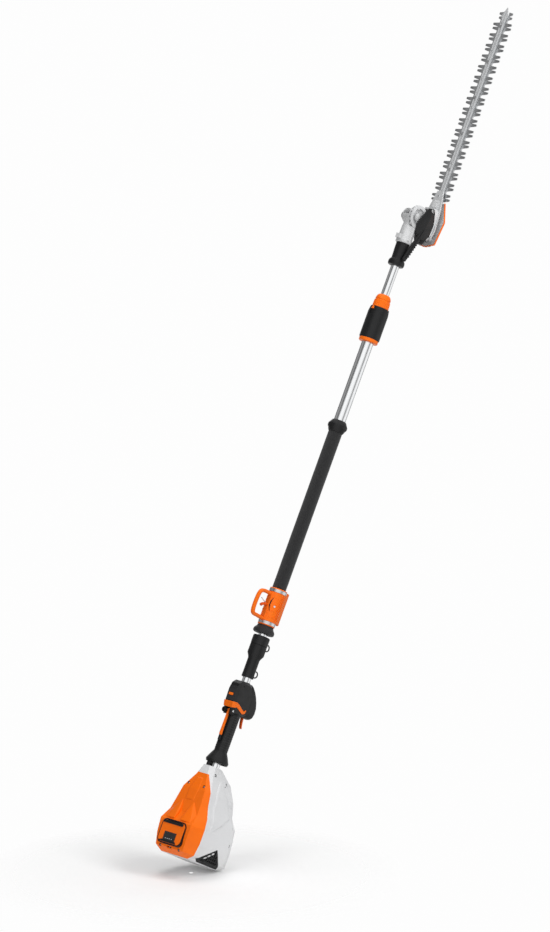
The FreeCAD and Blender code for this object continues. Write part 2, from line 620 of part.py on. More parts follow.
# ================================================================ motor
def build_motor():
    plate_z = MOTOR_TOP + 5
    can = pipe(MOTOR_RADIUS + CAN_WALL, MOTOR_RADIUS + SEAT, MOTOR_BOTTOM, MOTOR_TOP)
    end = pipe(MOTOR_RADIUS + CAN_WALL, BEARING_RADIUS + SEAT, MOTOR_TOP, plate_z)
    floor = pipe(MOTOR_RADIUS + CAN_WALL, BEARING_RADIUS + SEAT, MOTOR_BOTTOM - 5, MOTOR_BOTTOM)
    socket = pipe(MOTOR_SOCKET, TUBE_RADIUS + SEAT, plate_z, HOUSING_HEIGHT - 3)
    carrier = can.fuse([end, floor, socket]).removeSplitter()
    windows = [box(-7, 7, MOTOR_RADIUS - 20, MOTOR_RADIUS - 9, MOTOR_BOTTOM - 6, MOTOR_BOTTOM + 1)]
    for window in around(windows[0], 6, Vector(0, 0, 0), Z_AXIS):
        carrier = carrier.cut(window)
    carrier = carrier.cut(cable_path(CABLE_RADIUS + SEAT))

    stack_low = MOTOR_BOTTOM + 12
    stack_high = MOTOR_TOP - 12
    stator = pipe(MOTOR_RADIUS, STATOR_BORE + AIR_GAP, stack_low, stack_high)
    slot = box(-3.2, 3.2, STATOR_BORE + 5, MOTOR_RADIUS - 6, stack_low - 1, stack_high + 1)
    mouth = box(-1.0, 1.0, STATOR_BORE - 1, STATOR_BORE + 6, stack_low - 1, stack_high + 1)
    for cutter in around(slot.fuse(mouth), STATOR_SLOTS, Vector(0, 0, 0), Z_AXIS):
        stator = stator.cut(cutter)

    rotor = pipe(STATOR_BORE, SHAFT_RADIUS + SEAT, stack_low - 2, stack_high + 2)
    shaft = rod(SHAFT_RADIUS, MOTOR_BOTTOM - 24, LOWER_TUBE_BOTTOM + 1)
    coupler = rod(9.0, LOWER_TUBE_BOTTOM + 1, LOWER_TUBE_BOTTOM + 22)
    bore = square_rod(SEAT, LOWER_TUBE_BOTTOM + 6, LOWER_TUBE_BOTTOM + 23)
    shaft = shaft.fuse(coupler).removeSplitter().cut(bore)

    bearing_low = pipe(BEARING_RADIUS, SHAFT_RADIUS + RUN, MOTOR_BOTTOM - 5, MOTOR_BOTTOM + 2)
    bearing_high = pipe(BEARING_RADIUS, SHAFT_RADIUS + RUN, MOTOR_TOP - 2, MOTOR_TOP + 5)

    fan_top = MOTOR_BOTTOM - 8
    hub = pipe(10.0, SHAFT_RADIUS + SEAT, fan_top - FAN_HEIGHT, fan_top)
    disc = pipe(FAN_RADIUS, 9.0, fan_top - 2, fan_top)
    vane = box(-0.9, 0.9, 9.0, FAN_RADIUS - 0.5, fan_top - FAN_HEIGHT, fan_top - 1)
    fan = hub.fuse([disc] + around(vane, FAN_BLADES, Vector(0, 0, 0), Z_AXIS)).removeSplitter()
    return {
        "motor_carrier": carrier,
        "stator": stator,
        "rotor": rotor,
        "motor_shaft": shaft,
        "motor_bearings": Part.makeCompound([bearing_low, bearing_high]),
        "cooling_fan": fan,
    }


def square_rod(growth, z0, z1):
    """The drive shaft's section: a square with its corners turned off."""
    half = SHAFT_SQUARE / 2 + growth
    return box(-half, half, -half, half, z0, z1).common(rod(SHAFT_RADIUS + growth, z0, z1))


def cable_path(radius):
    return rod(radius, MOTOR_TOP + 6, HEAD_BOTTOM + 14, -CABLE_OFFSET, -CABLE_OFFSET)


# ================================================================ pole and shafts
def bushes(count, low, high, inner, outer):
    """Evenly spaced bushes between two heights."""
    step = (high - low - BUSH_LENGTH) / (count - 1)
    return [pipe(outer, inner, low + step * i, low + step * i + BUSH_LENGTH)
            for i in range(count)]


def build_pole():
    tube_bore = TUBE_RADIUS - TUBE_WALL
    outer_bore = OUTER_TUBE_RADIUS - TUBE_WALL
    lower_top = OUTER_TUBE_BOTTOM + TUBE_OVERLAP
    lower_tube = pipe(TUBE_RADIUS, tube_bore, LOWER_TUBE_BOTTOM + 2, lower_top)
    outer_tube = pipe(OUTER_TUBE_RADIUS, outer_bore, OUTER_TUBE_BOTTOM, OUTER_TUBE_TOP)
    inner_tube = pipe(TUBE_RADIUS, tube_bore, INNER_TUBE_BOTTOM, INNER_TUBE_TOP)
    lower_shaft = square_rod(0, LOWER_TUBE_BOTTOM + 6.5, LOWER_SHAFT_TOP)
    lower_bushes = bushes(LOWER_BUSH_COUNT, LOWER_TUBE_BOTTOM + 30, lower_top,
                          SHAFT_RADIUS + RUN, tube_bore - SEAT)
    reducer = pipe(outer_bore - SEAT, TUBE_RADIUS + SEAT, OUTER_TUBE_BOTTOM, lower_top)
    upper_bushes = bushes(UPPER_BUSH_COUNT, INNER_TUBE_BOTTOM + 30, INNER_TUBE_TOP - 14,
                          UPPER_SHAFT_RADIUS + RUN, tube_bore - SEAT)
    guide = pipe(outer_bore - RUN, TUBE_RADIUS + SEAT, INNER_TUBE_BOTTOM,
                 INNER_TUBE_BOTTOM + 2 * BUSH_LENGTH)
    return {
        "lower_tube": lower_tube,
        "outer_tube": outer_tube,
        "inner_tube": inner_tube,
        "lower_drive_shaft": lower_shaft,
        "lower_bushes": Part.makeCompound(lower_bushes + [reducer]),
        "upper_bushes": Part.makeCompound(upper_bushes + [guide]),
        "upper_drive_shaft": upper_shaft(),
    }


def upper_shaft():
    """The hollow shaft that slides over the lower one and ends in the bevel pinion."""
    top = PIVOT_Z - GEAR_PITCH_RADIUS - 3
    shaft = rod(UPPER_SHAFT_RADIUS, UPPER_SHAFT_BOTTOM, top)
    pinion = bevel_gear()
    pinion.rotate(Vector(0, 0, 0), X_AXIS, 180)
    pinion.translate(Vector(0, 0, PIVOT_Z))
    bore = square_rod(SLIDE / 2, UPPER_SHAFT_BOTTOM - 1, LOWER_SHAFT_TOP + 40)
    return shaft.fuse(pinion).removeSplitter().cut(bore)


def bevel_gear():
    """A mitre gear on +Z whose apex is the origin; its back is flat."""
    radius = GEAR_PITCH_RADIUS
    pitch = 2 * math.pi * radius / BEVEL_TEETH
    root = radius - 0.17 * pitch
    small = (radius - GEAR_FACE) / radius
    body = Part.makeCone(root * small, root, GEAR_FACE, Vector(0, 0, radius * small), Z_AXIS)
    back = rod(root, radius, radius + 3)
    teeth = []
    for share in (small, 1.0):
        depth = root * share
        rise = (radius + BEVEL_ADDENDUM * pitch) * share
        half_root = 0.26 * pitch * share
        half_tip = 0.10 * pitch * share
        z = radius * share
        points = [Vector(-half_root, depth - 0.4, z), Vector(half_root, depth - 0.4, z),
                  Vector(half_tip, rise, z), Vector(-half_tip, rise, z)]
        teeth.append(Part.makePolygon(points + [points[0]]))
    tooth = Part.makeLoft(teeth, True, True)
    return body.fuse([back] + around(tooth, BEVEL_TEETH, Vector(0, 0, 0), Z_AXIS))


# ================================================================ control handle
def head_outline():
    """The control head's (y, z) outline, counter-clockwise seen from +X."""
    return [
        (-0.72 * HEAD_FRONT, HEAD_BOTTOM - 9),
        (0.45 * HEAD_BACK, HEAD_BOTTOM),
        (0.84 * HEAD_BACK, HEAD_BOTTOM + 10),
        (HEAD_BACK, HEAD_BOTTOM + 25),
        (0.97 * HEAD_BACK, HEAD_BOTTOM + 33),
        (0.58 * HEAD_BACK, HEAD_BOTTOM + 62),
        (0.27 * HEAD_BACK, HEAD_TOP - 5),
        (0.05 * HEAD_BACK, HEAD_TOP),
        (-0.62 * HEAD_FRONT, HEAD_TOP - 2),
        (-0.90 * HEAD_FRONT, HEAD_TOP - 12),
        (-HEAD_FRONT, HEAD_BOTTOM + 64),
        (-0.97 * HEAD_FRONT, HEAD_BOTTOM + 26),
        (-0.80 * HEAD_FRONT, HEAD_BOTTOM + 4),
    ]


def control_head(distance):
    """The head's solid form with chamfered sides, moved inwards by a distance."""
    full = inset(head_outline(), distance)
    narrow = inset(head_outline(), distance + HEAD_CHAMFER)
    side = HEAD_HALF_WIDTH - distance
    levels = [(-side, narrow), (-side + HEAD_CHAMFER, full), (side - HEAD_CHAMFER, full),
              (side, narrow)]
    wires = []
    for x, outline in levels:
        points = [Vector(x, y, z) for y, z in outline]
        wires.append(Part.makePolygon(points + [points[0]]))
    return Part.makeLoft(wires, True, True)


def lever_pocket():
    """Room for the lockout lever over its whole swing."""
    side = LEVER_HALF_WIDTH + 0.6
    return box(-side, side, -BIG, -TUBE_RADIUS - 1.2,
               LEVER_PIVOT_Z - LEVER_LENGTH - 6, LEVER_PIVOT_Z + 7)


def trigger_pocket():
    """Room for the trigger's hub and spring arm inside the head, open at the underside."""
    side = TRIGGER_HALF_WIDTH + 0.6
    outline = [(20, HEAD_BOTTOM - 20), (45, HEAD_BOTTOM - 20), (45, TRIGGER_PIVOT_Z + 4),
               (42, TRIGGER_PIVOT_Z + 20), (22, TRIGGER_PIVOT_Z + 20)]
    return prism_x(outline, -side, side)


def build_handle():
    grip = rod(GRIP_RADIUS, GRIP_BOTTOM - 4, HEAD_BOTTOM + 2)
    skirt = lathe([(0, GRIP_BOTTOM + 4), (GRIP_RADIUS, GRIP_BOTTOM + 4),
                   (GRIP_RADIUS + 7, GRIP_BOTTOM - 9), (SKIRT_RADIUS, SKIRT_BOTTOM + 7),
                   (SKIRT_RADIUS - 2, SKIRT_BOTTOM), (0, SKIRT_BOTTOM)])
    body = grip.fuse([skirt, control_head(0)]).removeSplitter()
    hollow = lathe([(0, GRIP_BOTTOM - 6), (GRIP_RADIUS - 2, GRIP_BOTTOM - 6),
                    (SKIRT_RADIUS - 4, SKIRT_BOTTOM + 6), (SKIRT_RADIUS - 5, SKIRT_BOTTOM - 1),
                    (0, SKIRT_BOTTOM - 1)])
    cavity = control_head(WALL).cut(pipe(TUBE_RADIUS + 5, TUBE_RADIUS, 0, BIG * 2))
    for y, z in head_posts():
        cavity = cavity.cut(rod_x(4.5, -BIG, BIG, y, z))
    cavity = cavity.cut(pivot_blocks())
    body = body.cut([hollow, cavity, rod(TUBE_RADIUS + SEAT, 0, BIG * 2),
                     cable_path(CABLE_RADIUS + SEAT), lever_pocket(), trigger_pocket()])
    body = body.cut(display_slab(SEAT))
    body = body.cut(rod_x(PIN_RADIUS, -BIG, BIG, LEVER_PIVOT_Y, LEVER_PIVOT_Z))
    body = body.cut(rod_x(PIN_RADIUS, -BIG, BIG, TRIGGER_PIVOT_Y, TRIGGER_PIVOT_Z))
    for y, z in head_posts():
        body = body.cut(rod_x(1.8, -BIG, BIG, y, z))
    right = body.common(box(SEAT / 2, BIG, -BIG, BIG, 0, BIG * 2))
    left = body.common(box(-BIG, -SEAT / 2, -BIG, BIG, 0, BIG * 2))

    pins = [rod_x(PIN_RADIUS, -HEAD_HALF_WIDTH + 2, HEAD_HALF_WIDTH - 2, y, z)
            for y, z in ((LEVER_PIVOT_Y, LEVER_PIVOT_Z), (TRIGGER_PIVOT_Y, TRIGGER_PIVOT_Z))]
    screws = [rod_x(1.8, -HEAD_HALF_WIDTH + 3, HEAD_HALF_WIDTH - 3, y, z)
              for y, z in head_posts()]
    cable = rod(CABLE_RADIUS, MOTOR_TOP + 8, HEAD_BOTTOM + 12, -CABLE_OFFSET, -CABLE_OFFSET)
    return {
        "handle_left": left,
        "handle_right": right,
        "handle_pins": Part.makeCompound(pins + screws),
        "lockout_lever": lockout_lever(),
        "trigger": trigger(),
        "display_panel": display_panel(),
        "mode_button": mode_button(),
        "trim_band": trim_band(),
        "power_switch": power_switch(),
        "control_cable": Part.makeCompound([cable, cable_boot()]),
    }


def head_posts():
    """Screw posts inside the control head: (y, z) of each."""
    return [(0.48 * HEAD_BACK, HEAD_BOTTOM + 48), (-0.55 * HEAD_FRONT, HEAD_TOP - 16)]


def pivot_blocks():
    """Solid cheeks beside the lever and the trigger, which hold their pins."""
    return Part.makeCompound([
        box(-BIG, BIG, -BIG, -TUBE_RADIUS, HEAD_BOTTOM - 12, LEVER_PIVOT_Z + 10),
        box(-BIG, BIG, 20, 47, HEAD_BOTTOM - 2, TRIGGER_PIVOT_Z + 8),
    ])


def cable_boot():
    """The rubber boot around the cable, between the housing's neck and the handle."""
    boot = rod(8.0, HOUSING_HEIGHT + SEAT, SKIRT_BOTTOM + 8, -CABLE_OFFSET - 1, -CABLE_OFFSET - 3)
    return boot.cut([rod(TUBE_RADIUS + SEAT, 0, BIG * 2),
                     cable_path(CABLE_RADIUS + SEAT)])


def lockout_lever():
    """A long lever on the battery side, hinged at its top end."""
    inner = LEVER_PIVOT_Y + LEVER_THICKNESS / 2
    outer = LEVER_PIVOT_Y - LEVER_THICKNESS / 2
    tip = LEVER_PIVOT_Z - LEVER_LENGTH
    outline = [(outer + 3, tip), (inner - 1, tip), (inner, tip + 6), (inner, LEVER_PIVOT_Z),
               (outer, LEVER_PIVOT_Z), (outer - 1, LEVER_PIVOT_Z - 16), (outer - 1, tip + 10)]
    lever = prism_x(outline, -LEVER_HALF_WIDTH, LEVER_HALF_WIDTH)
    hub = rod_x(LEVER_THICKNESS / 2, -LEVER_HALF_WIDTH, LEVER_HALF_WIDTH,
                LEVER_PIVOT_Y, LEVER_PIVOT_Z)
    lever = lever.fuse(hub).removeSplitter()
    return lever.cut(rod_x(PIN_RADIUS + RUN, -BIG, BIG, LEVER_PIVOT_Y, LEVER_PIVOT_Z))


def trigger():
    """A hooked finger piece under the head, with a spring arm above its pivot."""
    y, z = TRIGGER_PIVOT_Y, TRIGGER_PIVOT_Z
    outline = [(y - 4, z), (y - 3, z - 16), (y + 0.5, z - 34), (y + 4, TRIGGER_TIP_Z),
               (y + 11, TRIGGER_TIP_Z + 1), (y + 9, z - 34), (y + 6, z - 16), (y + 4, z),
               (y + 3, z + 13), (y - 3, z + 13)]
    body = prism_x(outline, -TRIGGER_HALF_WIDTH, TRIGGER_HALF_WIDTH)
    hub = rod_x(5.0, -TRIGGER_HALF_WIDTH, TRIGGER_HALF_WIDTH, y, z)
    body = body.fuse(hub).removeSplitter()
    return body.cut(rod_x(PIN_RADIUS + RUN, -BIG, BIG, y, z))


def display_slab(growth):
    """The display's seat on the head's battery-side face."""
    side = HEAD_HALF_WIDTH - HEAD_CHAMFER
    return box(-side - growth, side + growth, -HEAD_FRONT - 1, -HEAD_FRONT + 4 + growth,
               HEAD_BOTTOM + 30 - growth, HEAD_TOP - 22 + growth)


def display_panel():
    panel = display_slab(0).common(control_head(-0.6))
    key = box(-BUTTON_HALF_WIDTH - SLIDE, BUTTON_HALF_WIDTH + SLIDE, -BIG, 0,
              BUTTON_Z - SLIDE, BUTTON_Z + BUTTON_HEIGHT + SLIDE)
    return panel.cut(key)


def mode_button():
    face = -HEAD_FRONT - 1.6
    button = box(-BUTTON_HALF_WIDTH, BUTTON_HALF_WIDTH, face, -HEAD_FRONT + 4 - BUTTON_TRAVEL,
                 BUTTON_Z, BUTTON_Z + BUTTON_HEIGHT)
    return button.makeFillet(1.2, [e for e in button.Edges if is_along(e, Y_AXIS)])


def trim_band():
    """The orange band that wraps the head's lower front and runs back along both sides."""
    wave = [(-HEAD_FRONT - 1.5, HEAD_BOTTOM + 9), (-22, HEAD_BOTTOM + 16), (-8, HEAD_BOTTOM + 10),
            (6, HEAD_BOTTOM + 4), (16, HEAD_BOTTOM + 8), (19, HEAD_BOTTOM + 18),
            (15, HEAD_BOTTOM + 19), (11, HEAD_BOTTOM + 13), (-2, HEAD_BOTTOM + 18),
            (-16, HEAD_BOTTOM + 26), (-26, HEAD_BOTTOM + 29), (-HEAD_FRONT - 1.5, HEAD_BOTTOM + 28)]
    prism = prism_x(wave, -BIG, BIG)
    return prism.common(control_head(-1.8).cut(control_head(-0.05)))


def power_switch():
    """The microswitch that the trigger's arm presses; it hangs on the head's rear post."""
    z = TRIGGER_PIVOT_Z + 20
    body = box(-5, 5, 24, 37, z + 0.5, z + 13)
    return body.cut(rod_x(4.5 + SEAT, -BIG, BIG, 0.48 * HEAD_BACK, HEAD_BOTTOM + 48))


# ================================================================ sleeves, clamp, foam grip
def eye(sleeve_radius, z):
    """A harness eye on the +Y side of a sleeve."""
    centre = sleeve_radius + EYE_HOLE + 1.5
    lug = rod_x(EYE_RADIUS, -EYE_THICKNESS / 2, EYE_THICKNESS / 2, centre, z)
    root = box(-EYE_THICKNESS / 2, EYE_THICKNESS / 2, sleeve_radius - 3, centre, z - 5, z + 5)
    hole = rod_x(EYE_HOLE, -EYE_THICKNESS, EYE_THICKNESS, centre, z)
    return lug.fuse(root).removeSplitter(), hole


def build_sleeves():
    small = lathe([(TUBE_RADIUS + SEAT, SMALL_SLEEVE_BOTTOM),
                   (SMALL_SLEEVE_RADIUS - 2, SMALL_SLEEVE_BOTTOM),
                   (SMALL_SLEEVE_RADIUS, SMALL_SLEEVE_BOTTOM + 4),
                   (SMALL_SLEEVE_RADIUS, SMALL_SLEEVE_TOP - 1),
                   (TUBE_RADIUS + SEAT, SMALL_SLEEVE_TOP - 1)])
    ring, hole = eye(SMALL_SLEEVE_RADIUS, SMALL_SLEEVE_BOTTOM + 14)
    small = small.fuse(ring).removeSplitter().cut(hole)
    middle = (SMALL_SLEEVE_TOP + LARGE_SLEEVE_TOP) / 2
    radius = LARGE_SLEEVE_RADIUS
    large = lathe([(TUBE_RADIUS + SEAT, SMALL_SLEEVE_TOP), (radius - 3, SMALL_SLEEVE_TOP),
                   (radius, SMALL_SLEEVE_TOP + 3), (radius, middle - 1.5), (radius - 1.5, middle),
                   (radius, middle + 1.5), (radius, LARGE_SLEEVE_TOP - 3),
                   (radius - 3, LARGE_SLEEVE_TOP), (TUBE_RADIUS + SEAT, LARGE_SLEEVE_TOP)])
    ring, hole = eye(radius, middle + 9)
    large = large.fuse(ring).removeSplitter().cut(hole)
    boot = lathe([(TUBE_RADIUS + SEAT, LARGE_SLEEVE_TOP + 1),
                  (BOOT_RADIUS - 2, LARGE_SLEEVE_TOP + 1), (BOOT_RADIUS, LARGE_SLEEVE_TOP + 4),
                  (BOOT_RADIUS, LARGE_SLEEVE_TOP + 9), (CLAMP_RADIUS - 1, BOOT_TOP - 8),
                  (CLAMP_RADIUS - 2, BOOT_TOP), (TUBE_RADIUS + SEAT, BOOT_TOP)])
    return {"harness_sleeves": Part.makeCompound([small, large]), "flared_boot": boot}


def build_loop_clamp():
    low = BOOT_TOP + SEAT
    high = CLAMP_TOP
    radius = CLAMP_RADIUS
    bore = OUTER_TUBE_RADIUS + SEAT
    seat_low = low + CLAMP_RIM
    seat_high = high - CLAMP_RIM - CLAMP_BAND_HEIGHT
    body = lathe([(bore, OUTER_TUBE_BOTTOM), (bore, high), (radius, high),
                  (radius, high - CLAMP_RIM), (radius - 2, high - CLAMP_RIM),
                  (radius - 2, seat_high), (radius, seat_high),
                  (radius, seat_low + CLAMP_BAND_HEIGHT), (radius - 2, seat_low + CLAMP_BAND_HEIGHT),
                  (radius - 2, seat_low), (radius, seat_low), (radius, low), (TUBE_RADIUS + 1, low),
                  (TUBE_RADIUS + 1, OUTER_TUBE_BOTTOM)])
    loop = clamp_loop(seat_low + CLAMP_BAND_HEIGHT, seat_high)
    ribs = clamp_ribs(seat_low + CLAMP_BAND_HEIGHT, seat_high)
    body = body.fuse([loop, ribs]).removeSplitter()
    body = body.cut(rod(OUTER_TUBE_RADIUS + SEAT, OUTER_TUBE_BOTTOM, high + 1))
    middle = (low + high) / 2
    latch_y = -radius - 5.0
    body = body.cut(latch_pocket(latch_y, middle))
    front = body.common(box(-BIG, BIG, -BIG, -SEAT / 2, 0, BIG * 3))
    rear = body.common(box(-BIG, BIG, SEAT / 2, BIG, 0, BIG * 3))
    bands = []
    for base in (seat_low, seat_high):
        bands.append(pipe(radius + 0.6, radius - 2 + SEAT, base + SEAT, base + CLAMP_BAND_HEIGHT - SEAT))
    return {
        "loop_clamp_front": front,
        "loop_clamp_rear": rear,
        "clamp_bands": Part.makeCompound(bands),
        "loop_latch": loop_latch(latch_y, middle),
    }


def clamp_loop(low, high):
    """The D-shaped loop on the battery side."""
    side = LOOP_HALF_WIDTH
    outline = [(-CLAMP_RADIUS + 6, low), (-LOOP_REACH + 16, low + 4), (-LOOP_REACH, low + 20),
               (-LOOP_REACH, high - 20), (-LOOP_REACH + 16, high - 4), (-CLAMP_RADIUS + 6, high)]
    solid = prism_x(outline, -side, side)
    hole = prism_x(loop_hole(low, high), -BIG, BIG)
    return solid.cut(hole)


def loop_hole(low, high):
    near = -CLAMP_RADIUS - 9
    far = -LOOP_REACH + LOOP_BAR
    return [(near, low + LOOP_BAR), (far + 8, low + LOOP_BAR + 2), (far, low + LOOP_BAR + 10),
            (far, high - LOOP_BAR - 10), (far + 8, high - LOOP_BAR - 2), (near, high - LOOP_BAR)]


def clamp_ribs(low, high):
    """Stiffening flange and ribs on the trigger side."""
    flange = box(-5, 5, CLAMP_RADIUS - 4, CLAMP_RADIUS + 13, low, high)
    ribs = []
    for index in range(4):
        z = low + (high - low - 3) * index / 3
        ribs.append(box(-13, 13, CLAMP_RADIUS - 12, CLAMP_RADIUS + 9, z, z + 3))
    return flange.fuse(ribs).cut(rod(OUTER_TUBE_RADIUS + 2, 0, BIG * 3))


def latch_pocket(y, z):
    return box(-5 - SLIDE, 5 + SLIDE, y - 5, y + 3.5, z - 13, z + 13).cut(
        rod_x(1.5, -BIG, BIG, y, z + 9))


def loop_latch(y, z):
    """A small catch in the loop, hinged on a pin near its top."""
    lever = box(-5, 5, y - 3, y + 2.4, z - 11, z + 9)
    hub = rod_x(3.0, -5, 5, y, z + 9)
    return lever.fuse(hub).removeSplitter().cut(rod_x(1.5 + RUN, -BIG, BIG, y, z + 9))


def build_foam_grip():
    foam = pipe(FOAM_RADIUS, OUTER_TUBE_RADIUS + SEAT, FOAM_BOTTOM, FOAM_TOP)
    radius = COLLAR_RADIUS
    collar = lathe([(OUTER_TUBE_RADIUS + SEAT, FOAM_TOP), (FOAM_RADIUS + 1, FOAM_TOP),
                    (radius - 2, FOAM_TOP + 11), (radius, FOAM_TOP + 14), (radius, FOAM_TOP + 20),
                    (radius - 4, FOAM_TOP + 28), (radius - 8.5, COLLAR_TOP),
                    (OUTER_TUBE_RADIUS + SEAT, COLLAR_TOP)])
    return {"foam_grip": foam, "grip_collar": collar}


# ================================================================ twist collet
def build_collet():
    bore = OUTER_TUBE_RADIUS + SEAT
    radius = COLLET_RADIUS
    sleeve = lathe([(bore, COLLET_BOTTOM + 10), (radius - 1.5, COLLET_BOTTOM + 10),
                    (radius, COLLET_BOTTOM + 13), (radius, COLLET_SLEEVE_TOP - 16),
                    (radius - 2.5, COLLET_SLEEVE_TOP), (NUT_RADIUS - 4, COLLET_SLEEVE_TOP),
                    (NUT_RADIUS - 4, COLLET_SLEEVE_TOP - 12), (bore, COLLET_SLEEVE_TOP - 12)])
    notch = box(-5, 5, -radius - 5, -radius + 2.5, COLLET_SLEEVE_TOP - 26, COLLET_SLEEVE_TOP + 1)
    sleeve = sleeve.cut(notch)
    ring = lathe([(bore, COLLET_BOTTOM), (radius - 3.5, COLLET_BOTTOM),
                  (radius - 2, COLLET_BOTTOM + 2), (radius - 2, COLLET_BOTTOM + 9.9),
                  (bore, COLLET_BOTTOM + 9.9)])
    clear = TUBE_RADIUS + SLIDE
    nut = lathe([(bore + 0.4, COLLET_SLEEVE_TOP - 11), (NUT_RADIUS - 4.6, COLLET_SLEEVE_TOP - 11),
                 (NUT_RADIUS - 4.6, COLLET_SLEEVE_TOP + 0.4), (NUT_RADIUS, COLLET_SLEEVE_TOP + 0.4),
                 (NUT_RADIUS, NUT_TOP - 13), (NUT_RADIUS - 2, NUT_TOP - 9),
                 (NUT_RADIUS - 2.6, NUT_TOP - 7), (NUT_RADIUS - 2, NUT_TOP - 5),
                 (NUT_RADIUS - 6, NUT_TOP), (clear, NUT_TOP), (clear, OUTER_TUBE_TOP + 6),
                 (bore + 0.4, OUTER_TUBE_TOP + 6)])
    rib_gap = rod(1.3, COLLET_SLEEVE_TOP - 1, NUT_TOP - 15, NUT_RADIUS + 0.3, 0)
    nut = nut.cut(Part.makeCompound(around(rib_gap, NUT_RIBS, Vector(0, 0, 0), Z_AXIS)))
    insert = pipe(OUTER_TUBE_RADIUS - TUBE_WALL - SEAT, TUBE_RADIUS + RUN,
                  OUTER_TUBE_TOP - INSERT_LENGTH, OUTER_TUBE_TOP)
    lip = pipe(OUTER_TUBE_RADIUS, TUBE_RADIUS + RUN, OUTER_TUBE_TOP, OUTER_TUBE_TOP + 5.6)
    insert = insert.fuse(lip).removeSplitter()
    split = box(-1, 1, -BIG, 0, OUTER_TUBE_TOP - INSERT_LENGTH + 1, OUTER_TUBE_TOP + 5)
    insert = insert.cut(split)
    return {"collet_sleeve": sleeve, "collet_ring": ring, "collet_nut": nut,
            "collet_insert": insert}


# ================================================================ tilting joint
def build_joint():
    z = PIVOT_Z
    clear = TUBE_RADIUS + SEAT
    spigot = rod(SPIGOT_RADIUS, ARM_BOTTOM - SPIGOT_LENGTH, ARM_BOTTOM + 1)
    shoulder = rod(ARM_RADIUS, ARM_BOTTOM, z - 8)
    lug = box(-8, 8, -34, -12, ARM_BOTTOM + 2, ARM_BOTTOM + 15)
    boss = rod(5.5, ARM_BOTTOM, z - QUADRANT_OUTER - GAP, LOCK_PIN_X, 0)
    barrel = rod_x(CUP_OUTER, CUP_LEFT - CUP_WALL, CUP_RIGHT + CUP_WALL, 0, z)
    arm = spigot.fuse([shoulder, lug, boss, barrel]).removeSplitter()
    upper = box(CUP_RIGHT + CUP_WALL, BIG, -BIG, BIG, z - QUADRANT_OUTER - GAP, BIG * 6)
    arm = arm.cut(upper)
    arm = arm.cut(rod_x(CUP_INNER, CUP_LEFT, CUP_RIGHT, 0, z))
    swept = sector_x(CUP_OUTER + 30, CUP_LEFT, CUP_RIGHT, -32, 90)
    swept = swept.fuse(sector_x(CUP_OUTER + 30, CUP_LEFT, CUP_RIGHT, 89, 178))
    arm = arm.cut(swept.cut(box(-BIG, BIG, -BIG, BIG, 0, z - CUP_OUTER - 1)))
    arm = arm.cut(rod(clear, ARM_BOTTOM - SPIGOT_LENGTH - 1, INNER_TUBE_TOP + SEAT))
    arm = arm.cut(rod(UPPER_SHAFT_RADIUS + 1.0, INNER_TUBE_TOP, z))
    arm = arm.cut(rod(LOCK_PIN_RADIUS + RUN, ARM_BOTTOM - 1, z, LOCK_PIN_X, 0).cut(
        box(-BIG, BIG, -BIG, BIG, z - QUADRANT_OUTER - GAP + 1, BIG * 6)))
    journal = rod_x(10.0, CUP_LEFT - CUP_WALL - 6, CUP_LEFT - CUP_WALL, 0, z)
    arm = arm.fuse(journal).removeSplitter()
    arm = arm.cut(rod_x(5.0 + RUN, CUP_LEFT - 4, CUP_LEFT + 1, 0, z))
    arm = arm.cut(rod_x(4.0, CUP_LEFT - CUP_WALL - 7, CUP_LEFT - 3, 0, z))
    arm = arm.cut(rod_x(8.0 + RUN, CUP_RIGHT - 1, CUP_RIGHT + CUP_WALL + 1, 0, z))

    cap_x = CUP_LEFT - CUP_WALL - 6
    knob = rod_x(12.0, cap_x - 8, cap_x, 0, z)
    knob = knob.makeFillet(2.5, [e for e in knob.Edges if abs(e.BoundBox.XMin - cap_x + 8) < 0.1
                                 and abs(e.BoundBox.XMax - cap_x + 8) < 0.1])
    stem = rod_x(4.0, cap_x, CUP_LEFT - 4, 0, z)
    cap = knob.fuse(stem).removeSplitter()
    return {"joint_arm": arm, "pivot_cap": cap, "locking_sleeve": locking_sleeve(),
            "sleeve_spring": sleeve_spring(), "crown_gear": crown_gear()}


def locking_sleeve():
    """The sliding sleeve with its grip collar; the locking pin is fixed in its top."""
    top = ARM_BOTTOM - SEAT
    bore = SPIGOT_RADIUS + SLIDE
    collar_top = SLEEVE_BOTTOM + 20
    wide = SLEEVE_RADIUS - 2.5
    sleeve = lathe([(TUBE_RADIUS + SLIDE, SLEEVE_BOTTOM), (SLEEVE_COLLAR_RADIUS - 3, SLEEVE_BOTTOM),
                    (SLEEVE_COLLAR_RADIUS, SLEEVE_BOTTOM + 5),
                    (SLEEVE_COLLAR_RADIUS, collar_top - 5), (SLEEVE_RADIUS - 1.5, collar_top),
                    (SLEEVE_RADIUS - 1, top - 20), (SLEEVE_RADIUS, top), (bore, top),
                    (bore, top - 10), (wide, top - 10), (wide, SLEEVE_BOTTOM + 4),
                    (TUBE_RADIUS + SLIDE, SLEEVE_BOTTOM + 4)])
    pin_top = PIVOT_Z - QUADRANT_OUTER - LOCK_PIN_REST_GAP
    pin = rod(LOCK_PIN_RADIUS, top - 8, pin_top, LOCK_PIN_X, 0)
    return sleeve.fuse(pin).removeSplitter()


def sleeve_spring():
    """Drawn at its compressed length, standing on the spigot's end."""
    length = 22.0 - SLIDE
    spring = coil(TUBE_RADIUS + 3.2, 1.1, length, 5, Vector(0, 0, 0))
    base = ARM_BOTTOM - SPIGOT_LENGTH - length - 0.2
    spring.translate(Vector(0, 0, base))
    return spring


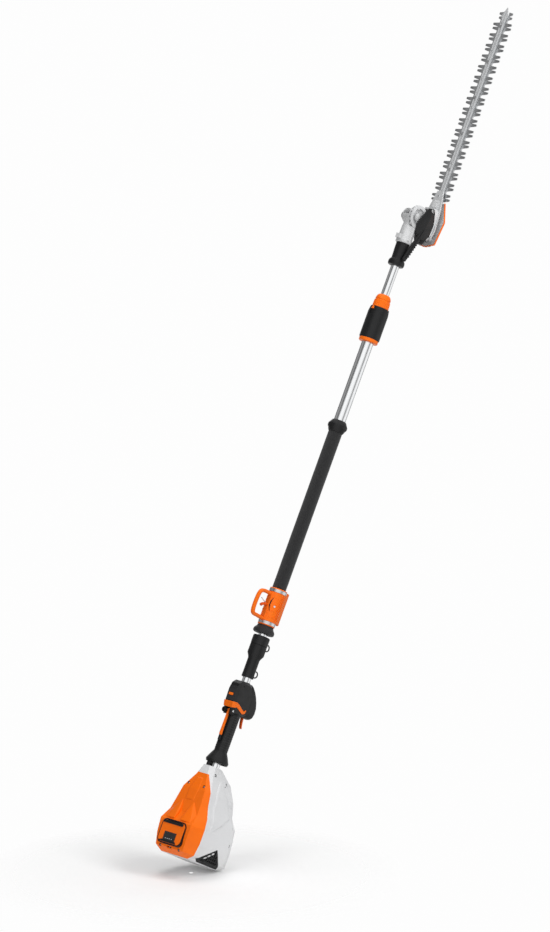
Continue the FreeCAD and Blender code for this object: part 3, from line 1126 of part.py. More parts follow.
def crown_gear():
    """The bevel gear on the tilt axis, which turns in the arm's left wall."""
    gear = bevel_gear()
    gear.rotate(Vector(0, 0, 0), Z_AXIS, 180.0 / BEVEL_TEETH)
    gear.rotate(Vector(0, 0, 0), Y_AXIS, -90)
    gear.translate(Vector(0, 0, PIVOT_Z))
    hub = rod_x(5.0, CUP_LEFT - 3.6, -GEAR_PITCH_RADIUS - 2, 0, PIVOT_Z)
    return gear.fuse(hub).removeSplitter()


# ================================================================ cutter head
def cover_outline():
    """The black gear cover's (x, z) outline: a long hexagon that narrows at both ends."""
    half = CORE_HALF_WIDTH + 4
    return [(-0.45 * half, CORE_BOTTOM - 22), (0.45 * half, CORE_BOTTOM - 22),
            (half, CORE_BOTTOM + 10), (half, PIVOT_Z + 14), (0.55 * half, CORE_TOP - 6),
            (-0.55 * half, CORE_TOP - 6), (-half, PIVOT_Z + 14), (-half, CORE_BOTTOM + 10)]


def skid_outline():
    """The skid plate's (x, z) outline."""
    half = SKID_HALF_WIDTH
    return [(-0.45 * half, SKID_BOTTOM), (0.45 * half, SKID_BOTTOM),
            (0.80 * half, SKID_BOTTOM + 10), (half, PIVOT_Z + 20), (0.5 * half, SKID_TOP),
            (-0.5 * half, SKID_TOP), (-half, PIVOT_Z + 20), (-0.80 * half, SKID_BOTTOM + 10)]


def quadrant():
    """The detent ring: open towards the blade side, with a web and a journal."""
    z = PIVOT_Z
    x0 = CUP_RIGHT + CUP_WALL + 0.5
    x1 = x0 + QUADRANT_THICKNESS
    ring = pipe_x(QUADRANT_OUTER, QUADRANT_INNER, x0, x1, z)
    web = pipe_x(QUADRANT_INNER + 1, 8.0, x0, x0 + 5, z).common(
        sector_x(QUADRANT_OUTER, x0, x1, -80, 80))
    hub = rod_x(11.0, x0, x0 + 6, 0, z)
    journal = rod_x(8.0, CUP_RIGHT, x0 + 1, 0, z)
    tie = box(x0, x1, QUADRANT_INNER + 2, CORE_FRONT + 6, z - 13, z + 13)
    part = ring.fuse([web, hub, journal, tie]).removeSplitter()
    step = TILT_RANGE / (QUADRANT_HOLES - 1)
    for index in range(QUADRANT_HOLES):
        hole = rod(LOCK_PIN_RADIUS + 0.25, z - QUADRANT_OUTER - 5, z - QUADRANT_OUTER + 7,
                   LOCK_PIN_X, 0)
        hole.rotate(Vector(0, 0, z), X_AXIS, -step * index)
        part = part.cut(hole)
    return part


def gear_head():
    """The light casting: quadrant, gear drum, neck, left cheek and gearbox core in one."""
    z = PIVOT_Z
    drum_left = CUP_LEFT + 0.5
    drum_right = CUP_RIGHT - 0.5
    drum = pipe_x(DRUM_OUTER, DRUM_INNER, drum_left, drum_right, z)
    drum = drum.common(sector_x(DRUM_OUTER, drum_left, drum_right, -55, 90))
    neck = rod_y(NECK_RADIUS, DRUM_INNER - 1, CORE_FRONT + 1, 0, z)
    cheek_x1 = CUP_LEFT - CUP_WALL - 0.5
    cheek_x0 = cheek_x1 - 5
    cheek = rod_x(15.0, cheek_x0, cheek_x1, 0, z)
    strap = box(cheek_x0, cheek_x1, 0, CORE_FRONT + 8, z - 13, z + 13)
    tie = box(cheek_x0, -CORE_HALF_WIDTH + 4, CORE_FRONT, CORE_FRONT + 8, z - 13, z + 13)
    core = prism_y(core_outline(), CORE_FRONT, CORE_BACK)
    head = core.fuse([drum, neck, cheek, strap, tie, quadrant()]).removeSplitter()
    head = head.cut(rod_x(10.0 + RUN, cheek_x0 - 1, cheek_x1 + 1, 0, z))
    head = head.cut(rod_y(5.0 + RUN, 0, CORE_BACK, 0, z))
    head = head.cut(rod_y(SPUR_RADIUS + 3, CORE_FRONT + 8, CORE_BACK + 1, 0, z))
    head = head.cut(rod_y(CRANK_RADIUS + 2.5, CORE_FRONT + 8, CORE_BACK + 1, 0, CRANK_Z))
    axle = rod_y(5.0, CORE_FRONT + 4, CORE_BACK - 5, 0, CRANK_Z)
    head = head.fuse(axle).removeSplitter()
    for x, zz in cover_screws():
        head = head.cut(rod_y(2.0, 0, CORE_FRONT + 7, x, zz))
    return head.cut(lever_screw(0))


def core_outline():
    half = CORE_HALF_WIDTH
    return [(-0.6 * half, CORE_BOTTOM), (0.6 * half, CORE_BOTTOM), (half, CORE_BOTTOM + 14),
            (half, CRANK_Z + 8), (0.7 * half, CORE_TOP), (-0.7 * half, CORE_TOP),
            (-half, CRANK_Z + 8), (-half, CORE_BOTTOM + 14)]


def cover_screws():
    """Gear cover screws: (x, z) of each."""
    return [(0.0, CORE_TOP - 12), (-14.0, CORE_BOTTOM + 12)]


def gear_cover():
    cover = prism_y(cover_outline(), COVER_FRONT, COVER_BACK)
    core = prism_y([(x, z) for x, z in inset(core_outline(), -SEAT)], CORE_FRONT - SEAT,
                   CORE_BACK)
    cover = cover.cut(core)
    cover = cover.cut(rod_y(NECK_RADIUS + SEAT, 0, CORE_BACK, 0, PIVOT_Z))
    ties = box(CUP_RIGHT + CUP_WALL, BIG, 0, CORE_BACK, PIVOT_Z - 13 - SEAT, PIVOT_Z + 13 + SEAT)
    strap = box(-BIG, -CORE_HALF_WIDTH + 4 + SEAT, 0, CORE_BACK, PIVOT_Z - 13 - SEAT,
                PIVOT_Z + 13 + SEAT)
    cover = cover.cut([ties, strap])
    for x, z in cover_screws():
        cover = cover.cut(rod_y(2.0 + SEAT, 0, CORE_BACK, x, z))
        cover = cover.cut(rod_y(4.2, 0, COVER_FRONT + 2, x, z))
    return cover.cut(lever_screw(SEAT))


def adjusting_lever():
    """The hand lever that starts on the cover and runs back beside the pole."""
    start = Vector(13, COVER_FRONT - 5.5, PIVOT_Z - 30)
    end = Vector(SLEEVE_RADIUS + 14, -6, SLEEVE_BOTTOM + 27)
    lever = bar(start, end, 15, 11)
    pad = box(3, 23, COVER_FRONT - 11, COVER_FRONT - SEAT, PIVOT_Z - 44, PIVOT_Z - 18)
    lever = lever.fuse(pad).removeSplitter()
    lever = lever.cut(box(-BIG, BIG, COVER_FRONT - SEAT, BIG, 0, BIG * 6))
    return lever.cut(lever_screw(SEAT))


def lever_screw(growth):
    """The screw that holds the lever's pad, and its counterbore when it is grown."""
    x, z = 13.0, PIVOT_Z - 37
    shank = rod_y(2.0 + growth, COVER_FRONT - 12, CORE_FRONT + 7, x, z)
    head = rod_y(4.0 + growth, COVER_FRONT - 12, COVER_FRONT - 7, x, z)
    return shank.fuse(head).removeSplitter()


def spur_gear(radius, teeth, y0, y1, z, phase):
    """A spur gear about a Y axis."""
    pitch = 2 * math.pi * radius / teeth
    root = radius - 0.36 * pitch
    tip = radius + 0.26 * pitch
    wheel = rod_y(root, y0, y1, 0, z)
    outline = [(-0.24 * pitch, z + root - 0.3), (0.24 * pitch, z + root - 0.3),
               (0.20 * pitch, z + radius), (0.09 * pitch, z + tip), (-0.09 * pitch, z + tip),
               (-0.20 * pitch, z + radius)]
    tooth = prism_y(outline, y0, y1)
    tooth.rotate(Vector(0, 0, z), Y_AXIS, phase)
    return wheel.fuse(around(tooth, teeth, Vector(0, 0, z), Y_AXIS))


def output_gear():
    """The output bevel, its shaft in the neck and the spur pinion that drives the crank."""
    gear = bevel_gear()
    gear.rotate(Vector(0, 0, 0), X_AXIS, -90)
    gear.translate(Vector(0, GAP, PIVOT_Z))
    shaft = rod_y(5.0, GEAR_PITCH_RADIUS + 3, CORE_FRONT + 10.5, 0, PIVOT_Z)
    spur_y0 = CORE_FRONT + 9
    pinion = spur_gear(SPUR_RADIUS, SPUR_TEETH, spur_y0, spur_y0 + SPUR_FACE, PIVOT_Z, 0)
    return gear.fuse([shaft, pinion]).removeSplitter()


def crank_wheel():
    """The driven spur wheel with the two crank pins, half a turn apart."""
    y0 = CORE_FRONT + 9
    y1 = y0 + SPUR_FACE
    wheel = spur_gear(CRANK_RADIUS, CRANK_TEETH, y0, y1, CRANK_Z, 180.0 / CRANK_TEETH)
    disc = rod_y(CRANK_RADIUS - 3, y1 - 1, CORE_BACK - 3, 0, CRANK_Z)
    wheel = wheel.fuse(disc)
    angle = math.asin(REST_OFFSET / ECCENTRICITY)
    for side in (1, -1):
        x = side * ECCENTRICITY * math.cos(angle)
        z = CRANK_Z + side * ECCENTRICITY * math.sin(angle)
        wheel = wheel.fuse(rod_y(CRANK_PIN_RADIUS, y1, LOWER_BLADE_Y + BLADE_THICKNESS, x, z))
    wheel = wheel.removeSplitter()
    return wheel.cut(rod_y(5.0 + RUN, y0 - 1, CORE_BACK - 4.5, 0, CRANK_Z))


def blade(y, shift, window_low, window_high):
    """One blade, seen along Y, shifted along its stroke from the middle."""
    bottom = CRANK_Z - 35
    teeth_end = FIRST_TOOTH_Z + TOOTH_PITCH * (TOOTH_COUNT - 1)
    body = prism_y([(-18, bottom), (18, bottom), (18, CRANK_Z + 34), (BLADE_BODY, CRANK_Z + 50),
                    (BLADE_BODY, teeth_end), (5, BLADE_TIP_Z - STROKE_BACK - 6),
                    (-5, BLADE_TIP_Z - STROKE_BACK - 6), (-BLADE_BODY, teeth_end),
                    (-BLADE_BODY, CRANK_Z + 50), (-18, CRANK_Z + 34)], y, y + BLADE_THICKNESS)
    teeth = []
    for index in range(TOOTH_COUNT):
        z = FIRST_TOOTH_Z + TOOTH_PITCH * index + shift
        reach = TOOTH_REACH
        if index == TOOTH_COUNT - 1:
            reach = 0.72 * TOOTH_REACH
        right = [(BLADE_BODY - 2, z - TOOTH_ROOT / 2), (reach, z - TOOTH_TIP / 2 + 2),
                 (reach, z + TOOTH_TIP / 2 + 2), (BLADE_BODY - 2, z + TOOTH_ROOT / 2 + 1)]
        tooth = prism_y(right, y, y + BLADE_THICKNESS)
        teeth.append(tooth)
        teeth.append(mirrored_x(tooth))
    body = body.fuse(teeth).removeSplitter()
    window = box(-ECCENTRICITY - CRANK_PIN_RADIUS - 0.6, ECCENTRICITY + CRANK_PIN_RADIUS + 0.6,
                 y - 1, y + BLADE_THICKNESS + 1, CRANK_Z - window_low, CRANK_Z + window_high)
    body = body.cut(window)
    slots = [screw_slot(y, z, window_low, window_high) for z in blade_screw_heights()]
    return body.cut(slots)


def screw_slot(y, z, window_low, window_high):
    """A slot for a guide screw, as long as the blade's stroke needs."""
    pins = ECCENTRICITY + CRANK_PIN_RADIUS
    low = window_low - pins + SCREW_RADIUS
    high = window_high - pins + SCREW_RADIUS
    half = SCREW_RADIUS + SLIDE
    return box(-half, half, y - 1, y + BLADE_THICKNESS + 1, z - low, z + high)


def blade_screw_heights():
    low = CRANK_Z + 42
    high = BLADE_TIP_Z - 62
    return [low + (high - low) * index / (BLADE_SCREWS - 1) for index in range(BLADE_SCREWS)]


def build_cutter():
    pins = ECCENTRICITY + CRANK_PIN_RADIUS + 0.8
    upper = blade(UPPER_BLADE_Y, REST_OFFSET, pins + STROKE_AHEAD, pins + STROKE_BACK)
    lower = blade(LOWER_BLADE_Y, -REST_OFFSET, pins + STROKE_BACK, pins + STROKE_AHEAD)
    rail_low = CRANK_Z + 26
    rail_high = BLADE_TIP_Z
    rail = prism_y([(-RAIL_HALF_WIDTH, rail_low), (RAIL_HALF_WIDTH, rail_low),
                    (RAIL_HALF_WIDTH, rail_high - 40), (12, rail_high - 26), (0, rail_high),
                    (-12, rail_high - 26), (-RAIL_HALF_WIDTH, rail_high - 40)],
                   BLADE_FRONT, BLADE_FRONT + RAIL_THICKNESS)
    block_z = core_rail_tab()
    skid = prism_y(skid_outline(), SKID_Y, SKID_Y + SKID_THICKNESS)
    spacers = [rod_y(5.0, CORE_BACK, SKID_Y + 0.5, x, z) for x, z in skid_posts()]
    skid = skid.fuse(spacers).removeSplitter()
    guard_outer = prism_y(inset(skid_outline(), -GUARD_WIDTH), SKID_Y - 1.5,
                          SKID_Y + SKID_THICKNESS + 1)
    guard = guard_outer.cut(prism_y(inset(skid_outline(), -SEAT), SKID_Y - 5, SKID_Y + 10))
    guard = guard.cut(box(-30, 30, SKID_Y - 10, SKID_Y + 10, SKID_TOP - 12, SKID_TOP + 20))

    screws = []
    for z in blade_screw_heights():
        shank_end = SKID_Y + SKID_THICKNESS
        screws.append(rod_y(SCREW_RADIUS, BLADE_FRONT, shank_end, 0, z).fuse(
            [rod_y(5.0, BLADE_FRONT - 2.2, BLADE_FRONT, 0, z),
             rod_y(5.0, SKID_Y - 0.0, shank_end + 1.5, 0, z)]).removeSplitter())
    for z in blade_screw_heights():
        rail = rail.cut(rod_y(SCREW_RADIUS, 0, BIG, 0, z))
        skid = skid.cut(rod_y(5.0 + SEAT, SKID_Y - 1, BIG, 0, z))
    for x, z in skid_posts():
        screws.append(rod_y(2.4, CORE_BACK - 6, SKID_Y + SKID_THICKNESS + 1.5, x, z))
        skid = skid.cut(rod_y(2.4, 0, BIG, x, z))
    head = gear_head().fuse(block_z).removeSplitter()
    for x, z in skid_posts():
        head = head.cut(rod_y(2.4, CORE_BACK - 8, CORE_BACK + 1, x, z))
    head = head.cut(rod_y(5.0 + SEAT, BLADE_FRONT - 3, BIG, 0, blade_screw_heights()[0]))
    cover_fasteners = []
    for x, z in cover_screws():
        cover_fasteners.append(rod_y(2.0, COVER_FRONT - 0.5, CORE_FRONT + 7, x, z).fuse(
            rod_y(4.0, COVER_FRONT - 0.5, COVER_FRONT + 2, x, z)).removeSplitter())
    cover_fasteners.append(lever_screw(0))
    return {
        "gear_head": head,
        "gear_cover": gear_cover(),
        "adjusting_lever": adjusting_lever(),
        "output_gear": output_gear(),
        "crank_wheel": crank_wheel(),
        "guide_rail": rail,
        "upper_blade": upper,
        "lower_blade": lower,
        "skid_plate": skid,
        "guard_rim": guard,
        "cutter_screws": Part.makeCompound(screws + cover_fasteners),
    }


def core_rail_tab():
    """The casting's tongue that carries the guide rail's foot."""
    return box(-11, 11, CORE_BACK - 8, CORE_BACK, CORE_TOP - 6, SKID_TOP - 2)


def skid_posts():
    """Where the skid plate is bolted to the casting: (x, z) of each."""
    return [(-12.0, CORE_BOTTOM + 9), (12.0, CORE_BOTTOM + 9)]


# ================================================================ build
def main():
    os.makedirs("parts", exist_ok=True)
    nodes = {}
    for build in (build_housing, build_controller, build_battery, build_motor, build_pole,
                  build_handle, build_sleeves, build_loop_clamp, build_foam_grip, build_collet,
                  build_joint, build_cutter):
        nodes.update(build())
    for name, shape in nodes.items():
        solids = shape.Solids
        if not solids or not shape.isValid():
            print("check", name, len(solids), shape.isValid())
        part = solids[0] if len(solids) == 1 else Part.makeCompound(solids)
        part.exportStep(os.path.join("parts", name + ".step"))
    print(len(nodes), "nodes")


main()
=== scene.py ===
"""Looks of the pole hedge trimmer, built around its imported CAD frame.

The frame is in metres: the pole is +Z, the battery faces -Y, the blade is on the +Y side of the
pole and the cutter tilts about X. Sizes and places of pieces are written in millimetres, and
mesh_of and baked turn them into metres.
"""
import json
import math

import bmesh
import bpy
from mathutils import Matrix, Vector, geometry, noise
from mathutils.bvhtree import BVHTree


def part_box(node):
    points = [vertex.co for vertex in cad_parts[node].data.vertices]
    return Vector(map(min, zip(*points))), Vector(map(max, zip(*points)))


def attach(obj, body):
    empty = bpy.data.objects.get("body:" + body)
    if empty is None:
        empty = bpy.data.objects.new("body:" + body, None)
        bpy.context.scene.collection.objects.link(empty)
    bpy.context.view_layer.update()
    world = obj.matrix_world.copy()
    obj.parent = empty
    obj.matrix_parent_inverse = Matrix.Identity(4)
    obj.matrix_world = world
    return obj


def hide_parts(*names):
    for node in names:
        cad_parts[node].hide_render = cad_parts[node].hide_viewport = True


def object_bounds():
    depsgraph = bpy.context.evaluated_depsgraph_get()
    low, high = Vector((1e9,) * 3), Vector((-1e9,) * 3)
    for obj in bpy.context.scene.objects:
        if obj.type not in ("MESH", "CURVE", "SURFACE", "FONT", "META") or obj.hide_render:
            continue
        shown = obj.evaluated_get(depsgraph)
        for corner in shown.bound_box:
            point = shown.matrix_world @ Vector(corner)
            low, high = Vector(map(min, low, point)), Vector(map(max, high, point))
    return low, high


MM = 0.001
X_AXIS = Vector((1, 0, 0))
Y_AXIS = Vector((0, 1, 0))
Z_AXIS = Vector((0, 0, 1))
SIDES = (("right", 1), ("left", -1))

# ---------------------------------------------------------------- viewpoint
VIEW_AZIMUTH = math.radians(43.5)      # the camera stands between the battery and the +X side
VIEW_ROLL = math.radians(19.87)        # the pole leans to the right in the picture
CAMERA_DISTANCE = 12.0
CAMERA_HEIGHT = -0.536
AIM_SIDEWAYS = -0.1308                 # the aimed point, sideways from the pole's axis
AIM_HEIGHT = 1.148
LENS = 162.65                          # on a sensor 36 mm along the picture's long side

# ---------------------------------------------------------------- colours (linear)
ORANGE = (0.95, 0.165, 0.004)
# A darker copy of the orange for orange parts that sit in shade: painted shade.
ORANGE_PAINTED_SHADE = (0.80, 0.100, 0.003)
LIGHT_SHELL = (0.72, 0.725, 0.735)
NEAR_BLACK = (0.0085, 0.0087, 0.0092)
SOFT_BLACK = (0.0065, 0.0065, 0.0070)
ALUMINIUM = (0.80, 0.81, 0.82)
CAST_GREY = (0.60, 0.605, 0.61)
STEEL = (0.60, 0.61, 0.62)
BLADE_STEEL = (0.62, 0.63, 0.64)
BLADE_DARK = (0.20, 0.205, 0.21)

# ---------------------------------------------------------------- sizes used by several pieces
LOWER_BORE = 13.2                      # just outside the lower tube
POLE_BORE = 18.1                       # just outside the outer tube
TUBE_WALL = 1.5
PIVOT_HEIGHT = 1974.0                  # the cutter's tilt axis
SKID_HALF = 44.0
CHEEK_INNER = 25.0
CHEEK_OUTER = 31.0
WELL_HALF = 4.1
WELL_DEPTH = 2.3
SHELL_WELLS = ((-17, 250), (38, 238), (88, 127), (84, 76))          # (y, z)
COVER_WELLS = ((-31.2, 208), (31.2, 208), (-37.6, 14), (37.6, 14))  # (x, z)
FAR = 500.0                            # where rays towards the part start
RELIEF_STEP = 4.0                      # how finely a relief follows its CAD face
RELIEF_SUNK = 0.25                     # how far its rim lies under that face

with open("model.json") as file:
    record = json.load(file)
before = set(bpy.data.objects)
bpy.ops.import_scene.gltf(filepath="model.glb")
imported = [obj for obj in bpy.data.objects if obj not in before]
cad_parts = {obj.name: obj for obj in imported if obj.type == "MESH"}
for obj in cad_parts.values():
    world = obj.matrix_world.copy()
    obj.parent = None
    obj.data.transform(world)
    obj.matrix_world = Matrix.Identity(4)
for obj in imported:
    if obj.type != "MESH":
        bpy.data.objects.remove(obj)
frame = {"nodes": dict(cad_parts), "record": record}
cad_low, cad_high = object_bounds()
nodes = frame["nodes"]
slot_of = {row["node"]: row["material_slot"] for row in frame["record"]["subparts"]}
body_of = {n: body for body, names in frame["record"]["behaviour"]["bodies"].items() for n in names}


# ================================================================ materials
class Graph:
    """A node tree that is built one node at a time."""

    def __init__(self, tree):
        self.tree = tree

    def node(self, kind, inputs=None, **settings):
        """A new node. An input is linked if it is given a socket, or else set."""
        made = self.tree.nodes.new(kind)
        for key, value in settings.items():
            setattr(made, key, value)
        for key, value in (inputs or {}).items():
            if isinstance(value, bpy.types.NodeSocket):
                self.link(value, made.inputs[key])
            else:
                made.inputs[key].default_value = value
        return made

    def link(self, source, target):
        self.tree.links.new(source, target)

    def ramp(self, source, low, high, low_value=0.0, high_value=1.0):
        made = self.node("ShaderNodeMapRange", {
            "Value": source, "From Min": low, "From Max": high,
            "To Min": low_value, "To Max": high_value}, clamp=True)
        return made.outputs["Result"]


class Shader(Graph):
    """A node material around one Principled shader."""

    def __init__(self, name, colour, roughness, metallic=0.0):
        self.material = bpy.data.materials.new(name)
        self.material.use_nodes = True
        super().__init__(self.material.node_tree)
        self.bsdf = self.tree.nodes["Principled BSDF"]
        self.colour = colour
        self.set("Base Color", (*colour, 1))
        self.set("Roughness", roughness)
        self.set("Metallic", metallic)
        self.coords = self.node("ShaderNodeTexCoord").outputs["Object"]

    def set(self, socket, value):
        self.bsdf.inputs[socket].default_value = value

    def noise(self, scale, detail=4.0, stretch=(1, 1, 1), roughness=0.5):
        """Noise in the frame's own metres: scale is in features per metre."""
        mapping = self.node("ShaderNodeMapping", {"Vector": self.coords, "Scale": stretch})
        made = self.node("ShaderNodeTexNoise", {
            "Vector": mapping.outputs["Vector"], "Scale": scale, "Detail": detail,
            "Roughness": roughness})
        return made.outputs["Fac"]

    def cells(self, scale):
        made = self.node("ShaderNodeTexVoronoi", {"Vector": self.coords, "Scale": scale})
        return made.outputs["Distance"]

    def math(self, operation, first, second=0.0):
        made = self.node("ShaderNodeMath", {0: first, 1: second}, operation=operation)
        return made.outputs["Value"]

    def tint(self, factor, colour):
        """Mixes another colour over what the base colour is so far."""
        target = self.bsdf.inputs["Base Color"]
        below = target.links[0].from_socket if target.links else (*self.colour, 1)
        mix = self.node("ShaderNodeMix", {"A": below, "B": (*colour, 1), "Factor": factor},
                        data_type="RGBA")
        self.link(mix.outputs["Result"], target)

    def blot(self, source, low, high, share, colour):
        """Mixes a colour in, up to a share, where a source rises from low to high."""
        self.tint(self.ramp(source, low, high, 0.0, share), colour)

    def rub(self, share, colour, low=0.53, high=0.62):
        """Mixes a colour in along worn outer edges."""
        self.tint(self.math("MULTIPLY", self.edges(low, high), share), colour)

    def vary_roughness(self, source, low, high):
        self.link(self.ramp(source, 0.3, 0.7, low, high), self.bsdf.inputs["Roughness"])

    def bump(self, height, strength, depth):
        """Adds a bump to those so far; its depth is in millimetres."""
        made = self.node("ShaderNodeBump", {
            "Height": height, "Strength": strength, "Distance": depth * MM})
        target = self.bsdf.inputs["Normal"]
        if target.links:
            self.link(target.links[0].from_socket, made.inputs["Normal"])
        self.link(made.outputs["Normal"], target)

    def edges(self, low=0.53, high=0.62):
        """1 on worn outer edges, 0 on flats and in corners."""
        return self.ramp(self.node("ShaderNodeNewGeometry").outputs["Pointiness"], low, high)

    def along(self, axis):
        return self.node("ShaderNodeSeparateXYZ", {"Vector": self.coords}).outputs[axis]


def shade(colour, share):
    return tuple(channel * share for channel in colour)


def moulded(name, colour, roughness, grain=1400.0, strength=0.25):
    """Injection-moulded plastic: spark-eroded grain, slight mottling, rubbed edges."""
    look = Shader(name, colour, roughness)
    look.blot(look.noise(14.0, 3.0), 0.35, 0.70, 0.55, shade(colour, 0.90))
    look.blot(look.noise(160.0, 6.0), 0.50, 0.75, 0.30, shade(colour, 0.84))
    worn = look.math("MULTIPLY", look.edges(), look.ramp(look.noise(220.0), 0.40, 0.62))
    lighter = tuple(min(1.0, channel * 1.25 + 0.02) for channel in colour)
    look.tint(look.math("MULTIPLY", worn, 0.5), lighter)
    look.vary_roughness(look.noise(55.0, 5.0), roughness - 0.06, roughness + 0.08)
    look.bump(look.cells(grain), strength, 0.06)
    look.bump(look.noise(grain * 0.35, 5.0), strength * 0.6, 0.08)
    look.set("Specular IOR Level", 0.30)
    return look.material


def light_shell():
    """Pale plastic with a little dust towards the ground."""
    look = Shader("shell_light", LIGHT_SHELL, 0.42)
    look.blot(look.noise(9.0, 3.0), 0.35, 0.70, 0.5, shade(LIGHT_SHELL, 0.95))
    look.blot(look.noise(260.0, 7.0), 0.55, 0.80, 0.35, shade(LIGHT_SHELL, 0.86))
    dust = look.math("MULTIPLY", look.ramp(look.along("Z"), 0.07, 0.0), look.noise(70.0, 6.0))
    look.tint(look.math("MULTIPLY", dust, 0.35), (0.40, 0.37, 0.32))
    look.vary_roughness(look.noise(60.0, 5.0), 0.36, 0.50)
    look.bump(look.cells(1500.0), 0.18, 0.05)
    return look.material


def grille_black():
    """Black plastic, light where the foot's front corner belongs to the shell, with a painted highlight
    along its lowest millimetre.
    """
    look = Shader("grille", NEAR_BLACK, 0.48)
    look.blot(look.noise(160.0, 6.0), 0.50, 0.75, 0.3, shade(NEAR_BLACK, 1.9))
    lean = look.math("ADD", look.along("Z"), look.math("MULTIPLY", look.along("Y"), 0.55))
    corner = look.ramp(lean, -4.2 * MM, -3.8 * MM, 1.0, 0.0)
    # The lowest millimetre takes the shell's pale colour: a painted highlight under the lower edge.
    under = look.ramp(look.along("Z"), 0.8 * MM, 1.1 * MM, 1.0, 0.0)
    look.tint(look.math("MAXIMUM", corner, under), LIGHT_SHELL)
    look.vary_roughness(look.noise(55.0, 5.0), 0.42, 0.56)
    look.bump(look.cells(1200.0), 0.25, 0.06)
    look.set("Specular IOR Level", 0.30)
    return look.material


def rubber():
    look = Shader("rubber", SOFT_BLACK, 0.62)
    look.blot(look.noise(90.0, 6.0), 0.45, 0.75, 0.5, (0.022, 0.022, 0.023))
    look.vary_roughness(look.noise(120.0, 5.0), 0.55, 0.72)
    look.bump(look.noise(1800.0, 3.0), 0.25, 0.06)
    look.set("Sheen Weight", 0.12)
    look.set("Sheen Roughness", 0.5)
    return look.material


def foam():
    look = Shader("foam", (0.0075, 0.0075, 0.0080), 0.92)
    look.blot(look.noise(260.0, 8.0), 0.42, 0.72, 0.8, (0.019, 0.019, 0.020))
    look.blot(look.noise(18.0, 3.0), 0.45, 0.70, 0.35, (0.014, 0.014, 0.015))
    look.bump(look.cells(1300.0), 0.55, 0.25)
    look.bump(look.noise(2600.0, 4.0), 0.40, 0.12)
    look.set("Sheen Weight", 0.22)
    look.set("Sheen Roughness", 0.6)
    return look.material


def tube_aluminium():
    """Drawn and anodised tube: fine lines along the pole and faint rub marks around it."""
    look = Shader("tube_aluminium", ALUMINIUM, 0.20, 1.0)
    drawn = look.noise(700.0, 3.0, (1, 1, 0.004))
    look.blot(drawn, 0.40, 0.70, 0.22, shade(ALUMINIUM, 0.82))
    look.blot(look.noise(12.0, 5.0), 0.52, 0.75, 0.20, shade(ALUMINIUM, 0.76))
    look.vary_roughness(look.noise(60.0, 5.0, (0.4, 0.4, 7.0)), 0.17, 0.26)
    look.bump(drawn, 0.04, 0.02)
    look.set("Anisotropic", 0.35)
    return look.material


def cast_aluminium():
    look = Shader("cast_aluminium", CAST_GREY, 0.50, 0.25)
    look.blot(look.noise(45.0, 6.0), 0.40, 0.75, 0.45, shade(CAST_GREY, 0.80))
    look.rub(0.6, (0.86, 0.87, 0.88))
    look.vary_roughness(look.noise(130.0, 5.0), 0.38, 0.58)
    look.bump(look.noise(1300.0, 6.0, roughness=0.65), 0.45, 0.15)
    return look.material


def steel(name="steel", colour=STEEL, roughness=0.30, metallic=1.0):
    look = Shader(name, colour, roughness, metallic)
    turned = look.noise(900.0, 3.0, (1, 1, 0.15))
    look.blot(turned, 0.45, 0.75, 0.4, shade(colour, 0.72))
    look.rub(0.5, (0.80, 0.80, 0.80))
    look.vary_roughness(look.noise(70.0, 5.0), roughness - 0.08, roughness + 0.12)
    look.bump(turned, 0.15, 0.04)
    return look.material


def blade_steel():
    """Laser-cut and ground blade: bright body, marks of grinding, darkened tooth tips."""
    look = Shader("blade_steel", BLADE_STEEL, 0.30, 1.0)
    ground = look.noise(1500.0, 2.0, (0.02, 1, 1))
    look.blot(ground, 0.40, 0.72, 0.45, shade(BLADE_STEEL, 0.70))
    away = look.math("ABSOLUTE", look.along("X"))
    ragged = look.math("ADD", away, look.math("MULTIPLY", look.noise(160.0, 5.0), 0.006))
    look.blot(ragged, 0.0215, 0.0330, 0.82, BLADE_DARK)
    look.rub(0.7, (0.78, 0.79, 0.80), 0.51, 0.60)
    look.vary_roughness(look.noise(90.0, 6.0), 0.24, 0.42)
    look.bump(ground, 0.22, 0.04)
    return look.material


def display():
    """Dark window over a fine grid of vent-like cells."""
    look = Shader("display", (0.008, 0.008, 0.009), 0.28)
    rows, columns = (look.math("SINE", look.math("MULTIPLY", look.along(axis), 2600.0))
                     for axis in "ZX")
    grid = look.math("MULTIPLY", rows, columns)
    look.blot(grid, 0.0, 0.8, 0.7, (0.030, 0.030, 0.032))
    look.bump(grid, 0.35, 0.2)
    look.vary_roughness(look.noise(40.0, 4.0), 0.22, 0.36)
    look.set("Coat Weight", 0.3)
    look.set("Coat Roughness", 0.12)
    return look.material


materials = {
    "shell_light": light_shell(),
    "orange_plastic": moulded("orange_plastic", ORANGE, 0.40),
    "black_plastic": moulded("black_plastic", NEAR_BLACK, 0.44, 1100.0, 0.40),
    "rubber": rubber(),
    "foam": foam(),
    "tube_aluminium": tube_aluminium(),
    "cast_aluminium": cast_aluminium(),
    "steel": steel(),
    "blade_steel": blade_steel(),
    "display": display(),
}
# Near-black plastic laid in recesses and gaps: painted shade.
recess_painted_shade = moulded("recess_painted_shade", (0.006, 0.006, 0.0065), 0.60)
# The orange's shaded copy: painted shade.
orange_painted_shade = moulded("orange_painted_shade", ORANGE_PAINTED_SHADE, 0.46)
bright_steel = steel("bright_steel", (0.72, 0.73, 0.74), 0.22)
plate_steel = steel("plate_steel", (0.66, 0.67, 0.68), 0.42, 0.45)


# ================================================================ pieces and their edges
def link_object(name, data):
    """A new object of the scene."""
    made = bpy.data.objects.new(name, data)
    bpy.context.scene.collection.objects.link(made)
    return made


